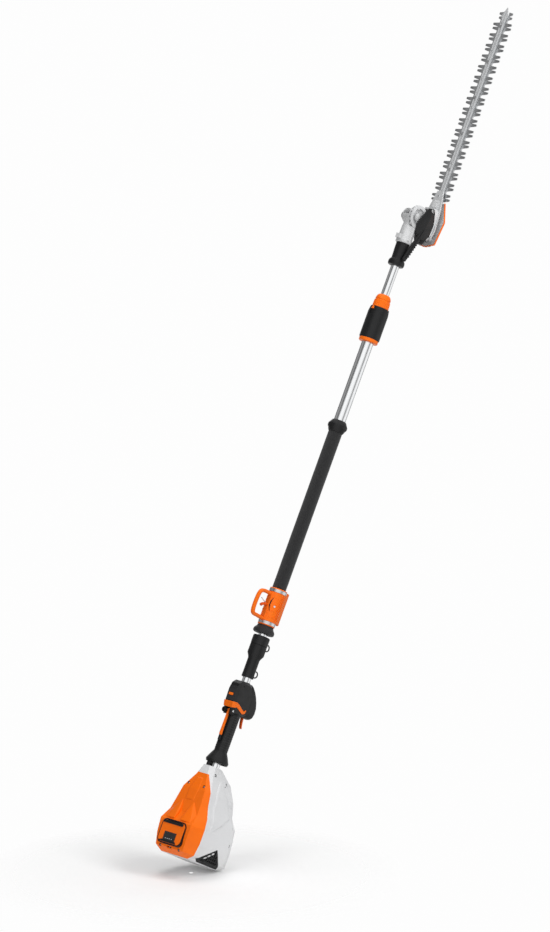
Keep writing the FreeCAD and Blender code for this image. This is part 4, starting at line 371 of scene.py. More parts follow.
def add_piece(name, mesh, body, slot, material=None, smooth=40.0, edge=0.0, cuts=2, corner=35.0,
              stands_for=None):
    """Adds a mesh as a piece that rides on a body, with its edges rounded by an edge width.

    It takes its slot's material unless it has its own, and may stand for a CAD node.
    """
    for polygon in mesh.polygons:
        polygon.use_smooth = True
    mesh.name = name
    piece = link_object(name, mesh)
    mesh.materials.append(material or materials[slot])
    mesh.set_sharp_from_angle(angle=math.radians(smooth))
    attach(piece, body)
    if edge:
        soften(piece, edge, cuts, corner)
    if stands_for:
        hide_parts(stands_for)
    return piece


def soften(piece, width, segments=2, angle=35.0):
    """Rounds a piece's hard edges without changing its own vertices."""
    weld = piece.modifiers.new("weld", "WELD")
    weld.merge_threshold = 0.004 * MM
    merge = piece.modifiers.new("merge_flats", "DECIMATE")
    merge.decimate_type = "DISSOLVE"
    merge.angle_limit = math.radians(0.6)
    bevel = piece.modifiers.new("edges", "BEVEL")
    bevel.width = width * MM
    bevel.segments = segments
    bevel.limit_method = "ANGLE"
    bevel.angle_limit = math.radians(angle)
    bevel.use_clamp_overlap = True
    bevel.harden_normals = False
    bevel.miter_outer = "MITER_ARC"
    normals = piece.modifiers.new("normals", "WEIGHTED_NORMAL")
    normals.keep_sharp = True
    normals.weight = 60


def carve(target, mesh, body):
    """Cuts closed forms out of an object's look, before its edges are rounded."""
    tool = link_object("tool_" + target.name, mesh)
    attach(tool, body)
    tool.hide_render = True
    tool.display_type = "WIRE"
    cut = target.modifiers.new("recesses", "BOOLEAN")
    cut.operation = "DIFFERENCE"
    cut.solver = "EXACT"
    cut.object = tool
    last = len(target.modifiers) - 1
    target.modifiers.move(last, min(1, last))


# ================================================================ mesh helpers
def mesh_of(places, faces):
    mesh = bpy.data.meshes.new("mesh")
    mesh.from_pydata([tuple(Vector(place) * MM) for place in places], [], faces)
    mesh.validate()
    return mesh


def baked(built, size=MM):
    """Turns a bmesh into a mesh, scaled and with its faces outwards."""
    bmesh.ops.scale(built, vec=(size, size, size), verts=built.verts)
    bmesh.ops.recalc_face_normals(built, faces=built.faces)
    mesh = bpy.data.meshes.new("mesh")
    built.to_mesh(mesh)
    built.free()
    return mesh


def joined(meshes):
    """One mesh from several."""
    built = bmesh.new()
    for mesh in meshes:
        built.from_mesh(mesh)
    return baked(built, 1.0)


def seat(place, axis):
    """The placement that takes +Z to an axis at a place."""
    return Matrix.Translation(place) @ Vector(axis).to_track_quat("Z", "Y").to_matrix().to_4x4()


def outward_at(degrees):
    """The direction away from the pole's axis at an angle from +X."""
    return Vector((math.cos(math.radians(degrees)), math.sin(math.radians(degrees)), 0))


def stacked(loops, ends="flat"):
    """Skins equal loops of places. The ends are flat, or the last loop is joined to the first."""
    count = len(loops[0])
    starts = [level * count for level in range(len(loops))]
    pairs = list(zip(starts, starts[1:]))
    if ends == "joined":
        pairs.append((starts[-1], 0))
    faces = []
    for low, high in pairs:
        for step in range(count):
            after = (step + 1) % count
            faces.append((low + step, low + after, high + after, high + step))
    if ends == "flat":
        faces.append(tuple(reversed(range(count))))
        faces.append(tuple(range(starts[-1], starts[-1] + count)))
    return mesh_of([place for loop in loops for place in loop], faces)


def turned_mesh(rings, at=Matrix.Identity(4), segments=96, ends="flat"):
    """Rings about +Z. A ring is (radius, height) or (radius, height, form of the angle)."""
    loops = []
    for radius, height, *form in rings:
        loop = []
        for step in range(segments):
            angle = math.tau * step / segments
            reach = radius * form[0](angle) if form else radius
            loop.append(at @ Vector((reach * math.cos(angle), reach * math.sin(angle), height)))
        loops.append(loop)
    return stacked(loops, ends)


def extent(node):
    """A node's bottom, height and largest x."""
    low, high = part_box(node)
    return low.z / MM, (high.z - low.z) / MM, high.x / MM


def node_rings(node, bore, rows):
    """Rings of a hollow profile: rows are (depth below the node's widest radius, rise)."""
    bottom, _, wide = extent(node)
    rings = [(wide - depth, bottom + rise) for depth, rise in rows]
    return [(bore, rings[0][1]), *rings, (bore, rings[-1][1])]


def turned_skin(node, bore, rows):
    """A hollow turned piece that stands for a CAD node."""
    mesh = turned_mesh(node_rings(node, bore, rows), segments=120, ends="joined")
    add_piece(node + "_skin", mesh, body_of[node], slot_of[node], smooth=32.0, stands_for=node)


def section(power, segments):
    """The outline of a unit square with rounded corners; a power of 2 makes it a circle."""
    outline = []
    for step in range(segments):
        angle = math.tau * step / segments
        across, along = math.cos(angle), math.sin(angle)
        reach = (abs(across) ** power + abs(along) ** power) ** (-1.0 / power)
        outline.append((reach * across, reach * along))
    return outline


def loft_mesh(stations, segments=40):
    """A form along Z from rounded stations: (z, centre y, half x, half y, squareness)."""
    loops = []
    for z, y, half_x, half_y, power in sorted(stations):
        loops.append([(half_x * a, y + half_y * b, z) for a, b in section(power, segments)])
    return stacked(loops)


def rounded_path(corners, rounds=3):
    """Corner cutting: a smooth open path through places near the corners, in the YZ plane."""
    path = [Vector((0, *corner)) for corner in corners]
    for _ in range(rounds):
        smoother = [path[0]]
        for here, after in zip(path, path[1:]):
            smoother.append(here.lerp(after, 0.25))
            smoother.append(here.lerp(after, 0.75))
        smoother.append(path[-1])
        path = smoother
    return path


def swept_mesh(path, half_x, half_flat, power=2.6, segments=28):
    """A rounded bar along a path in the YZ plane."""
    loops = []
    for index, place in enumerate(path):
        ahead = path[min(index + 1, len(path) - 1)] - path[max(index - 1, 0)]
        aside = ahead.normalized().cross(X_AXIS)
        loops.append([place + X_AXIS * half_x * a + aside * half_flat * b
                      for a, b in section(power, segments)])
    return joined([stacked(loops)])


def torus_mesh(centre, radius, thick, around=48, along=20):
    """A ring about the X axis."""
    loops = []
    for step in range(around):
        angle = math.tau * step / around
        outward = Vector((0, math.cos(angle), math.sin(angle)))
        middle = Vector(centre) + outward * radius
        loops.append([middle + outward * thick * a + X_AXIS * thick * b for a, b in section(2.0, along)])
    return stacked(loops, "joined")


def hull_mesh(points, at=Matrix.Identity(4)):
    """The convex hull of points."""
    built = bmesh.new()
    for point in points:
        built.verts.new(at @ Vector(point))
    bmesh.ops.convex_hull(built, input=built.verts)
    loose = [v for v in built.verts if not v.link_faces]
    bmesh.ops.delete(built, geom=loose, context="VERTS")
    return baked(built)


def hull_piece(name, points, body, slot, *look, **looks):
    return add_piece(name, hull_mesh(points), body, slot, *look, **looks)


def block_points(x, y, z):
    """The corners of a block from its (low, high) pairs."""
    return [(px, py, pz) for px in x for py in y for pz in z]


def swept_bar(start, end, half_wide, half_thick, end_wide, end_thick):
    """The corners of a bar of eight-sided section between two places, thick along X."""
    along = (end - start).normalized()
    side = along.cross(X_AXIS).normalized()
    points = [end + along * end_wide * 0.6]
    for place, wide, thick in ((start, half_wide, half_thick), (end, end_wide, end_thick)):
        for across, up in ((1, 0.55), (0.7, 1), (-0.7, 1), (-1, 0.55)):
            points.append(place + side * wide * across + X_AXIS * thick * up)
            points.append(place + side * wide * across - X_AXIS * thick * up)
    return points


def cylinder_patch(radius, rows, thick, steps=6):
    """A patch on a cylinder about Z from rows of (z, first angle, last angle) in degrees."""
    built = bmesh.new()
    grid = []
    for z, first, last in rows:
        angles = [first + (last - first) * step / steps for step in range(steps + 1)]
        grid.append([built.verts.new(outward_at(angle) * radius + Z_AXIS * z) for angle in angles])
    for lower, upper in zip(grid, grid[1:]):
        for step in range(steps):
            built.faces.new((lower[step], lower[step + 1], upper[step + 1], upper[step]))
    made = bmesh.ops.extrude_face_region(built, geom=built.faces[:])
    for part in made["geom"]:
        if isinstance(part, bmesh.types.BMVert):
            part.co += Vector((part.co.x, part.co.y, 0)).normalized() * thick
    return baked(built)


# ================================================================ details on CAD faces
def polygon_form(sides):
    """The outline of a regular polygon as a share of its corner radius."""
    span = math.tau / sides

    def form(angle):
        return math.cos(span / 2) / math.cos((angle % span) - span / 2)
    return form


def screw_head(name, body, place, axis, radius, height):
    """A low round head with a chamfer and a six-sided socket, facing along an axis."""
    socket = polygon_form(6)
    rings = [(radius, -height), (radius, height * 0.55), (radius * 0.86, height),
             (radius * 0.52, height, socket), (radius * 0.48, height * 0.80, socket),
             (radius * 0.46, -height * 0.2, socket)]
    add_piece(name, turned_mesh(rings, seat(place, axis), 36), body, "steel", bright_steel, 30.0)


def surface(node):
    """A ray tree of a CAD node's own mesh."""
    mesh = nodes[node].data
    return BVHTree.FromPolygons([v.co / MM for v in mesh.vertices],
                                [tuple(p.vertices) for p in mesh.polygons])


def facing(axis, first, second):
    """A place on the plane across X or Y, from its (y, z) or (x, z)."""
    return Vector((0, first, second)) if axis.x else Vector((first, 0, second))


def face_place(node, axis, first, second):
    """The middle and outward direction of a small patch of a CAD face, seen against an axis.

    It is read at four places around its middle, where the CAD part may have a screw hole.
    """
    tree = surface(node)
    place = Vector((0, 0, 0))
    normal = Vector((0, 0, 0))
    hits = 0
    for aside, up in ((-4.2, 0), (4.2, 0), (0, -4.2), (0, 4.2)):
        start = facing(axis, first + aside, second + up) + axis * FAR
        hit, direction, _, _ = tree.ray_cast(start, -axis)
        if hit is not None:
            place += hit
            normal += direction if direction.dot(axis) > 0 else -direction
            hits += 1
    return place / hits, normal.normalized()


def square_block(place, normal, half, depth, proud=2.0, half_up=None):
    """A square block that reaches a depth into a face and stands proud of it."""
    up = half_up or half
    points = block_points((-half, half), (-up, up), (-depth, proud))
    return hull_mesh(points, seat(place, normal))


def inset_outline(points, distance):
    """A counter-clockwise outline of 2-D points, moved inwards by a distance."""
    moved = []
    for index, here in enumerate(points):
        first = (here - points[index - 1]).normalized()
        second = (points[(index + 1) % len(points)] - here).normalized()
        normal = Vector((-first.y - second.y, first.x + second.x)).normalized()
        lean = normal.dot(Vector((-first.y, first.x)))
        moved.append(here + normal * (distance / max(lean, 0.35)))
    return moved


def relief(name, node, axis, outline, height, slope, slot):
    """A raised field on a CAD face, with sloping sides. Its outline is seen against an axis."""
    outline = [Vector(point) for point in outline]
    inner = inset_outline(outline, slope)
    sides = [(outline[index - 1], outline[index]) for index in range(len(outline))]
    built = bmesh.new()
    rim = [built.verts.new(facing(axis, *p)) for p in outline]
    top = [built.verts.new(facing(axis, *p)) for p in inner]
    for index in range(len(rim)):
        built.faces.new((rim[index - 1], rim[index], top[index], top[index - 1]))
    built.faces.new(top)
    for direction in (Y_AXIS if axis.x else X_AXIS, Z_AXIS):
        shares = [v.co.dot(direction) for v in built.verts]
        level = min(shares) + RELIEF_STEP
        while level < max(shares):
            parts = built.verts[:] + built.edges[:] + built.faces[:]
            bmesh.ops.bisect_plane(built, geom=parts, plane_co=direction * level,
                                   plane_no=direction, dist=0.001)
            level += RELIEF_STEP
    tree = surface(node)
    for vertex in list(built.verts):
        hit = tree.ray_cast(vertex.co + axis * FAR, -axis)[0]
        if hit is None:
            built.verts.remove(vertex)
            continue
        here = Vector((vertex.co.y if axis.x else vertex.co.x, vertex.co.z))
        reach = min((here - geometry.intersect_point_line(here, *side)[0].to_2d()).length
                    for side in sides)
        vertex.co = hit + axis * (height * min(1.0, reach / slope) - RELIEF_SUNK)
        vertex.co.x = min(max(vertex.co.x, cad_low.x / MM), cad_high.x / MM)
    bmesh.ops.recalc_face_normals(built, faces=built.faces)
    if sum(f.normal.dot(axis) for f in built.faces) < 0:
        bmesh.ops.reverse_faces(built, faces=built.faces)
    bmesh.ops.scale(built, vec=(MM, MM, MM), verts=built.verts)
    mesh = bpy.data.meshes.new(name)
    built.to_mesh(mesh)
    built.free()
    piece = add_piece(name, mesh, "root", slot, smooth=25.0)
    thick = piece.modifiers.new("back", "SOLIDIFY")
    thick.thickness = (height + 0.6) * MM
    thick.offset = -1.0


# ================================================================ motor housing
def make_wells():
    """Square screw wells and a slot in each shell and in the cover."""
    for side, sign in SIDES:
        node = "motor_shell_" + side
        axis = X_AXIS * sign
        spots = [face_place(node, axis, y, z) for y, z in SHELL_WELLS]
        slot = square_block(*face_place(node, axis, 98, 44), 1.6, WELL_DEPTH, half_up=7.0)
        fit_wells(node, "shell_%s_screw" % side, spots, slot)
    spots = [face_place("rear_cover", -Y_AXIS, x, z) for x, z in COVER_WELLS]
    slot = square_block(*face_place("rear_cover", -Y_AXIS, 0, 14), 9.0, WELL_DEPTH, half_up=5.5)
    fit_wells("rear_cover", "cover_screw", spots, slot)


def fit_wells(node, name, spots, slot):
    """Cuts wells and a slot into a node, and gives each well a screw and a near-black floor that is
    painted shade.
    """
    wells = [square_block(place, normal, WELL_HALF, WELL_DEPTH) for place, normal in spots]
    carve(nodes[node], joined(wells + [slot]), "root")
    # Each well's floor is a near-black sheet: painted shade in the well.
    shade_floors = []
    for index, (place, normal) in enumerate(spots):
        deep = place - normal * WELL_DEPTH
        screw_head("%s_%d" % (name, index + 1), "root", deep + normal * 0.5, normal, 2.5, 0.9)
        shade_floors.append(square_block(deep, normal, WELL_HALF - 0.05, 0.3, 0.35))
    add_piece(name + "_wells", joined(shade_floors), "root", "black_plastic", recess_painted_shade)


def make_grille_details():
    """Vent louvres behind the grille: pale bars under its upper edge, partly the shell seen through the
    vents and partly painted glints, and dark bars below.
    """
    nodes["intake_grille"].data.materials.clear()
    nodes["intake_grille"].data.materials.append(grille_black())
    half = extent("intake_grille")[2]
    for side, sign in SIDES:
        light, dark = [], []
        for index in range(3):
            y = 2 + 12.0 * index
            rise = 14.5 + 0.70 * (y + 1)
            deep = 2.4 + 1.0 * index
            corners = ((0, 0), (8.0, 0), (7.2, deep), (1.0, deep))
            # Pale bars under the upper edge: partly the shell seen through the vents, partly painted
            # glints.
            light.append(hull_mesh([
                (x, y + step, rise + 0.62 * step + up)
                for x in (sign * half, sign * (half - 5)) for step, up in corners]))
            dark.append(hull_mesh(block_points(
                (sign * half, sign * (half - 4)), (2 + 12 * index, 66 - 5 * index),
                (8 + 9 * index, 10.2 + 9 * index))))
        add_piece("grille_glints_" + side, joined(light), "root", "shell_light")
        add_piece("grille_bars_" + side, joined(dark), "root", "black_plastic", edge=0.4)


def make_housing_relief():
    """The stepped fields of the side shells and the hood around the battery's finger recess."""
    field = [(-16, 84), (17, 108), (60, 146), (64, 160), (48, 184), (34, 208), (20, 238), (2, 238),
             (-11, 206), (-17, 150)]
    for side, sign in SIDES:
        relief("side_field_" + side, "motor_shell_" + side, X_AXIS * sign, field, 2.6, 6.0,
               "shell_light")
    for side, sign in SIDES:
        make_hood_shoulder(side, sign)
    spine = [(-17, 160), (17, 160), (19, 196), (13, 232), (-13, 232), (-19, 196)]
    relief("cover_spine", "rear_cover", -Y_AXIS, spine, 1.2, 3.0, "orange_plastic")


def make_hood_shoulder(side, sign):
    """A faceted shoulder beside the finger recess above the battery, from (x, z, lift) corners."""
    corners = ((12, 97, 3.2), (12, 117, 4.4), (14, 132, 3.6), (22, 158, 0.8), (26, 97, 3.8),
               (30, 112, 4.6), (49, 97, 0.4), (53, 121, 0.3))
    points = []
    for x, z, lift in corners:
        place, _ = face_place("rear_cover", -Y_AXIS, sign * x, z)
        points += [place - Y_AXIS * lift, place + Y_AXIS * 2.0]
    mesh = hull_mesh(points)
    for vertex in mesh.vertices:
        vertex.co.y = max(vertex.co.y, cad_low.y)
    add_piece("hood_shoulder_" + side, mesh, "root", "orange_plastic", smooth=12.0,
              edge=1.4, cuts=3, corner=12.0)


def make_battery_face():
    """A thick upper grip bar, a blank plate with its lower lip, and four small charge lights."""
    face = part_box("battery_case")[0].y / MM + 1
    front = cad_low.y / MM
    bar = (block_points((-42, 36), (front + 0.1, face), (80.5, 87))
           + block_points((-42, 32), (front + 0.6, face), (78.5, 80.5)))
    hull_piece("battery_bar", bar, "battery", "black_plastic", edge=0.6)
    plate = (block_points((-24, 22), (front + 0.5, face), (30, 55))
             + block_points((-23, 21), (front + 0.3, face), (31, 54)))
    hull_piece("battery_plate", plate, "battery", "black_plastic", materials["display"], edge=0.4)
    lip = (block_points((-42, 30), (face - 1.6, face), (24.5, 26))
           + block_points((-27, 25), (front + 0.2, face), (26, 31)))
    hull_piece("battery_lip", lip, "battery", "black_plastic", edge=0.5)
    lights = [hull_mesh(block_points((x, x + 3.4), (front + 0.12, front + 0.6), (35, 36.6)))
              for x in range(-15, 17, 8)]
    add_piece("battery_lights", joined(lights), "battery", "black_plastic",
              materials["shell_light"])
    button = turned_mesh([(2.2, 0), (2.2, 0.4), (1.8, 0.6)],
                         seat((17, front + 0.7, 35.8), -Y_AXIS), 24)
    add_piece("battery_button", button, "battery", "black_plastic")


# ================================================================ control handle
def make_handle_parts():
    """The lockout lever with its black foot, the trigger and the rounded back of the head."""
    lever = [(446, -22.6, 2.6, 3.2, 3.5), (443, -24.6, 3.0, 4.0, 3.5), (430, -25.6, 3.2, 3.9, 3.5),
             (410, -25.9, 3.4, 3.4, 3.5), (385, -25.8, 3.9, 3.3, 3.5), (370, -25.4, 4.6, 3.3, 3.5),
             (366, -24.8, 4.2, 2.8, 3.0), (364.6, -24.4, 3.0, 1.8, 2.5)]
    add_piece("lever_skin", loft_mesh(lever), "lockout_lever", "orange_plastic",
              stands_for="lockout_lever")
    trigger = [(459, 31.5, 5.0, 4.6, 3.0), (449, 33.5, 5.4, 5.2, 3.0), (440, 35.5, 5.2, 4.2, 3.0),
               (430, 37.6, 5.0, 3.4, 2.8), (420, 39.6, 4.9, 3.0, 2.8), (411, 42.0, 4.8, 2.8, 2.8),
               (406, 44.4, 4.5, 2.6, 2.6), (404, 45.6, 3.6, 1.6, 2.4)]
    # The trigger takes the orange's darker copy: painted shade.
    add_piece("trigger_skin", loft_mesh(trigger), "trigger", "orange_plastic",
              orange_painted_shade, stands_for="trigger")
    foot = [(366, -24.6, 4.0, 2.6, 3.0), (352, -24.0, 4.6, 2.6, 3.0), (350.4, -23.6, 3.4, 1.8, 2.5)]
    add_piece("lever_foot", loft_mesh(foot), "lockout_lever", "black_plastic")
    back = [(434, 37, 11, 15, 2.6), (437, 38, 17, 21, 2.8), (444, 39.5, 21, 24.5, 3.0),
            (456, 40, 22.6, 26, 3.2), (472, 39, 22.8, 25.5, 3.2), (488, 35, 22.4, 22.5, 3.2),
            (503, 30, 21.2, 19, 3.0), (516, 24, 19, 15.5, 2.8), (526, 18, 16, 12, 2.6),
            (530.5, 15, 12, 9, 2.4)]
    bulge = add_piece("head_bulge", loft_mesh(back, 72), "root", "black_plastic")
    carve(bulge, hull_mesh(block_points((-6.6, 6.6), (20, 53), (428, 464))), "root")


def make_handle_screws():
    """A round boss with the pivot's screw and a square well on each side of the handle."""
    well_half, well_depth = 2.6, 2.2
    for side, sign in SIDES:
        axis = X_AXIS * sign
        node = "handle_" + side
        boss, _ = face_place(node, axis, -30, 437)
        rings = [(7.6, -3), (7.6, 0.6), (6.6, 1.6), (4.2, 1.8), (3.9, 0.6), (3.0, 0.5)]
        add_piece("pivot_boss_" + side, turned_mesh(rings, seat(boss, axis), 48), "root",
                  "black_plastic")
        screw_head("pivot_screw_" + side, "root", boss + axis * 0.9, axis, 3.0, 1.0)
        well, normal = face_place(node, axis, 27, 485)
        carve(nodes[node], square_block(well, normal, well_half, well_depth), "root")
        # The well's floor is a near-black sheet: painted shade in the well.
        floor = square_block(well - normal * well_depth, normal, well_half - 0.1, 0.3, 0.3)
        add_piece("handle_well_" + side, floor, "root", "black_plastic", recess_painted_shade)


def make_grip_ribs():
    """Fine raised bands round the hand grip, broken where the lever runs."""
    low, high, count, gap = 330.0, 428.0, 15, 10.0
    built = bmesh.new()
    for index in range(count):
        z = low + (high - low) * index / (count - 1)
        rings = [(18.7, z - 1.3), (19.3, z - 1.3), (19.95, z - 0.7), (19.95, z + 0.7), (19.3, z + 1.3),
                 (18.7, z + 1.3)]
        built.from_mesh(turned_mesh(rings, segments=72, ends="joined"))
    middles = [(face, face.calc_center_median()) for face in built.faces]
    front = [face for face, middle in middles if middle.y < 0 and abs(middle.x) < gap * MM]
    bmesh.ops.delete(built, geom=front, context="FACES")
    bmesh.ops.holes_fill(built, edges=[e for e in built.edges if e.is_boundary], sides=6)
    add_piece("grip_bands", baked(built, 1.0), "root", "black_plastic",
              materials["rubber"])


# ================================================================ tubes, sleeves and foam
def make_tubes():
    """The three aluminium tubes with their turned ends."""
    for node in ("lower_tube", "outer_tube", "inner_tube"):
        _, tall, wide = extent(node)
        turned_skin(node, wide - TUBE_WALL, [(0.4, 0), (0, 0.4), (0, tall - 0.4), (0.4, tall)])


def make_harness_sleeves():
    """Two sleeves in one soft moulding, each with a round eye on the trigger side."""
    bottom, tall, wide = extent("harness_sleeves")
    seam = 0.51 * tall
    slim = 7.0
    turned_skin("harness_sleeves", LOWER_BORE, [
        (slim + 1.2, 0), (slim, 1.5), (slim, 12), (slim + 0.5, 12.8), (slim + 0.5, seam - 8),
        (slim - 0.8, seam - 4), (3, seam + 2), (0.6, seam + 6), (0.2, seam + 9), (0.4, seam + 33),
        (1.1, seam + 33.6), (1.1, seam + 34.4), (0, seam + 35), (0, tall - 3), (1.2, tall - 0.6),
        (3.2, tall)])
    eyes = ((wide - slim + 9.5, bottom + 17), (wide + 11.5, bottom + seam + 36))
    for index, (y, z) in enumerate(eyes):
        eye = torus_mesh((0, y, z), 9.0, 2.0)
        root = hull_mesh(block_points((-2.2, 2.2), (y - 12.5, y - 7.5), (z - 6, z + 6)))
        add_piece("harness_eye_%d" % (index + 1), joined([eye, root]), "root", "rubber",
                  edge=0.5)


def make_collars():
    """Turned looks of the grip's end collar, the collet's ring and the lock sleeve."""
    tall = extent("grip_collar")[1]
    turned_skin("grip_collar", POLE_BORE, [
        (7.5, 0), (6.4, 1), (3.4, 9), (0.8, 12.5), (0, 15), (0, 20), (0.9, 22.5), (4.5, 28),
        (8.0, tall - 1.2), (9.4, tall)])
    tall = extent("collet_ring")[1]
    turned_skin("collet_ring", POLE_BORE, [(2.4, 0), (0.6, 1), (0, 2.6), (0, tall)])
    turned_skin("locking_sleeve", 12.9, [
        (4.6, 0), (1.4, 1.6), (0.2, 5), (0, 9), (0.3, 13), (1.8, 17), (4.6, 20), (5.2, 23), (5.1, 28),
        (4.3, 50), (4.1, 73), (4.8, 74)])


def make_arm_skirt():
    """The arm's lower skirt, which the lock sleeve slides into."""
    bottom, tall, _ = extent("locking_sleeve")
    base = bottom + tall
    profile = [(20.8, -52), (22.6, -52), (24.4, -50.6), (25.0, -48), (25.0, -42), (24.2, -39.5),
               (22.6, -38.2), (21.9, -34), (21.4, 0), (21.0, 1.2), (18.0, 1.2), (20.8, -12)]
    rings = [(radius, base + rise) for radius, rise in profile]
    add_piece("arm_skirt", turned_mesh(rings, ends="joined"), "inner_pole",
              "cast_aluminium")
    for index, degrees in enumerate((-62.0, -24.0)):
        outward = outward_at(degrees)
        screw_head("skirt_screw_%d" % (index + 1), "inner_pole",
                   outward * 24.9 + Z_AXIS * (base - 45), outward, 2.6, 0.7)


def make_soft_sleeves():
    """The flared rubber boot, and the foam grip with its uneven skin."""
    boot = [(13.2, 687.0), (23.0, 681.0), (27.6, 679.4), (30.4, 681.0), (31.6, 684.5), (31.4, 688),
            (30.0, 692), (27.0, 695.5), (24.8, 699), (24.0, 702.5), (22.0, 704), (13.2, 704)]
    add_piece("boot_skin", turned_mesh(boot), "root", "rubber", stands_for="flared_boot")
    clamp_bottom, clamp_tall, _ = extent("loop_clamp_front")
    foam_bottom, foam_tall, radius = extent("foam_grip")
    bottom = clamp_bottom + clamp_tall + 0.3
    top = foam_bottom + foam_tall
    levels = 260
    rings = [(radius - 4.0, bottom), (radius - 1.2, bottom + 0.1)]
    for level in range(levels + 1):
        rings.append((radius - 0.3, bottom + 1.4 + (top - bottom - 2.8) * level / levels))
    rings += [(radius - 1.2, top - 0.1), (radius - 4.0, top)]
    mesh = turned_mesh(rings, segments=120)
    for vertex in mesh.vertices:
        outward = Vector((vertex.co.x, vertex.co.y, 0)).normalized()
        dent = noise.noise(vertex.co * 160.0) * 0.16 + noise.noise(vertex.co * 38.0) * 0.12
        vertex.co += outward * dent * MM
    piece = add_piece("foam_skin", mesh, "root", "foam", stands_for="foam_grip")


# ================================================================ loop clamp
def make_loop_clamp():
    """The clamp's front half with its rounded loop, the catch inside it, and the flange."""
    bottom, tall, _ = extent("loop_clamp_front")
    top = bottom + tall
    middle = bottom + tall / 2
    corners = [(-21, top - 21), (-52, top - 20), (-70, top - 24), (-74.4, top - 50),
               (-74.4, bottom + 32), (-70, bottom + 17), (-50, bottom + 17), (-21, bottom + 15)]
    loop = swept_mesh(rounded_path(corners), 6.0, 5.4)
    foot = ((-8, -20), (8, -20), (-6.5, -28), (6.5, -28))
    base = hull_mesh([(x, y, z) for x, y in foot for z in (bottom + 14, top - 14)])
    add_piece("loop_clamp_skin", joined([clamp_shell(tall), loop, base]), "root",
              "orange_plastic", smooth=35.0, stands_for="loop_clamp_front")
    bends = rounded_path([(-27.6, middle + 2), (-34, middle + 2), (-43, middle - 1),
                          (-48, middle - 4), (-50, middle - 7)], 0)
    # The latch takes the orange's darker copy: painted shade.
    add_piece("loop_latch_skin", swept_mesh(bends, 4.2, 4.0, 3.0), "loop_latch",
              "orange_plastic", orange_painted_shade, stands_for="loop_latch")
    wire = rounded_path([(-29, middle + 5), (-42, middle + 7), (-56, middle + 13)])
    add_piece("loop_latch_wire", swept_mesh(wire, 1.5, 1.5, 2.0, 16), "loop_latch",
              "steel", bright_steel)
    heights = (bottom + 13.5, top - 2.2)
    plan = ((21.6, 13.2), (13.6, 34.8), (10.8, 34.8), (17.6, 17.4), (19.6, 12.4))
    webs = [hull_mesh([(sign * x, y, z) for x, y in plan for z in heights]) for sign in (-1, 1)]
    webs.append(hull_mesh(block_points((-13.2, 13.2), (31.8, 35.4), heights)))
    add_piece("clamp_flange", joined(webs), "root", "orange_plastic", edge=0.9)
    for side, sign in SIDES:
        make_clamp_marks(side, sign)


def clamp_shell(tall):
    """The clamp's grooved half ring on the battery side."""
    rings = node_rings("loop_clamp_front", POLE_BORE, [
        (1.4, 0), (0, 1.2), (0, 3), (1.6, 3.4), (1.6, 12), (0, 12.6), (0, tall - 12.6),
        (1.6, tall - 12), (1.6, tall - 3.4), (0, tall - 3), (0, tall - 1.2), (1.4, tall)])
    built = bmesh.new()
    built.from_mesh(turned_mesh(rings, segments=128, ends="joined"))
    parts = built.verts[:] + built.edges[:] + built.faces[:]
    cut = bmesh.ops.bisect_plane(built, geom=parts, plane_co=Y_AXIS * -0.2 * MM, plane_no=Y_AXIS,
                                 clear_outer=True)
    rim = [part for part in cut["geom_cut"] if isinstance(part, bmesh.types.BMEdge)]
    bmesh.ops.holes_fill(built, edges=rim)
    return baked(built, 1.0)


def make_clamp_marks(side, sign):
    """On one side of the clamp: a painted shadow in a curved gap, a screw beside it, and fine raised
    lines.
    """
    bottom, tall, wide = extent("loop_clamp_front")
    top = bottom + tall
    middle = bottom + tall / 2

    def turned(angle):
        return angle if sign > 0 else 180 - angle
    rows = []
    for step in range(13):
        share = step / 12
        bow = math.sin(math.pi * share)
        rows.append((middle - 16 + 44 * share, turned(-58 - 17 * bow), turned(-57 - 9 * bow)))
    # A dark curved strip on the clamp's face: painted shadow in the gap.
    add_piece("clamp_gap_shadow_" + side, cylinder_patch(wide - 0.6, rows, 0.8), "root", "orange_plastic",
              recess_painted_shade)
    outward = outward_at(turned(-36))
    screw_head("clamp_screw_" + side, "root", outward * (wide + 0.2) + Z_AXIS * (middle + 2), outward,
               3.0, 1.0)
    lines = []
    for index in range(5):
        start = -14 + 8.5 * index
        edges = (turned(start), turned(start + 3))
        lines.append(cylinder_patch(wide - 0.4, [(bottom + 18, *edges), (top - 16, *edges)], 1.3))
    for index in range(4):
        z = bottom + 24 + 19 * index
        edges = (turned(-50 + 2 * index), turned(-20))
        lines.append(cylinder_patch(wide - 0.4, [(z, *edges), (z + 2.2, *edges)], 1.0))
    add_piece("clamp_lines_" + side, joined(lines), "root", "orange_plastic", edge=0.3)


# ================================================================ collet
def make_nut():
    """The ribbed clamping nut and the small tab of its ring."""
    low, rise, _ = extent("collet_nut")

    def ribs(angle):
        return 1.0 - 0.045 * (0.5 + 0.5 * math.cos(26 * angle)) ** 2
    outline = [(17.0, 0.0), (25.6, 0.0), (26.2, 0.04), (26.2, 0.12), (25.0, 0.15), (24.9, 0.19, ribs),
               (24.4, 0.40, ribs), (24.1, 0.60, ribs), (23.6, 0.63), (22.0, 0.65), (22.0, 0.69),
               (22.9, 0.71), (22.2, 0.80), (20.4, 0.90), (17.6, 0.97), (15.4, 1.0), (13.4, 1.0)]
    rings = [(radius, low + rise * share, *form) for radius, share, *form in outline]
    add_piece("nut_skin", turned_mesh(rings, segments=312), "collet_nut",
              "orange_plastic", stands_for="collet_nut")
    tab = (block_points((-4, 4), (-31.4, -28), (1675, 1678))
           + block_points((-1.5, 1.5), (-30.4, -28), (1678, 1684)))
    hull_piece("collet_tab", tab, "root", "orange_plastic", edge=0.5)


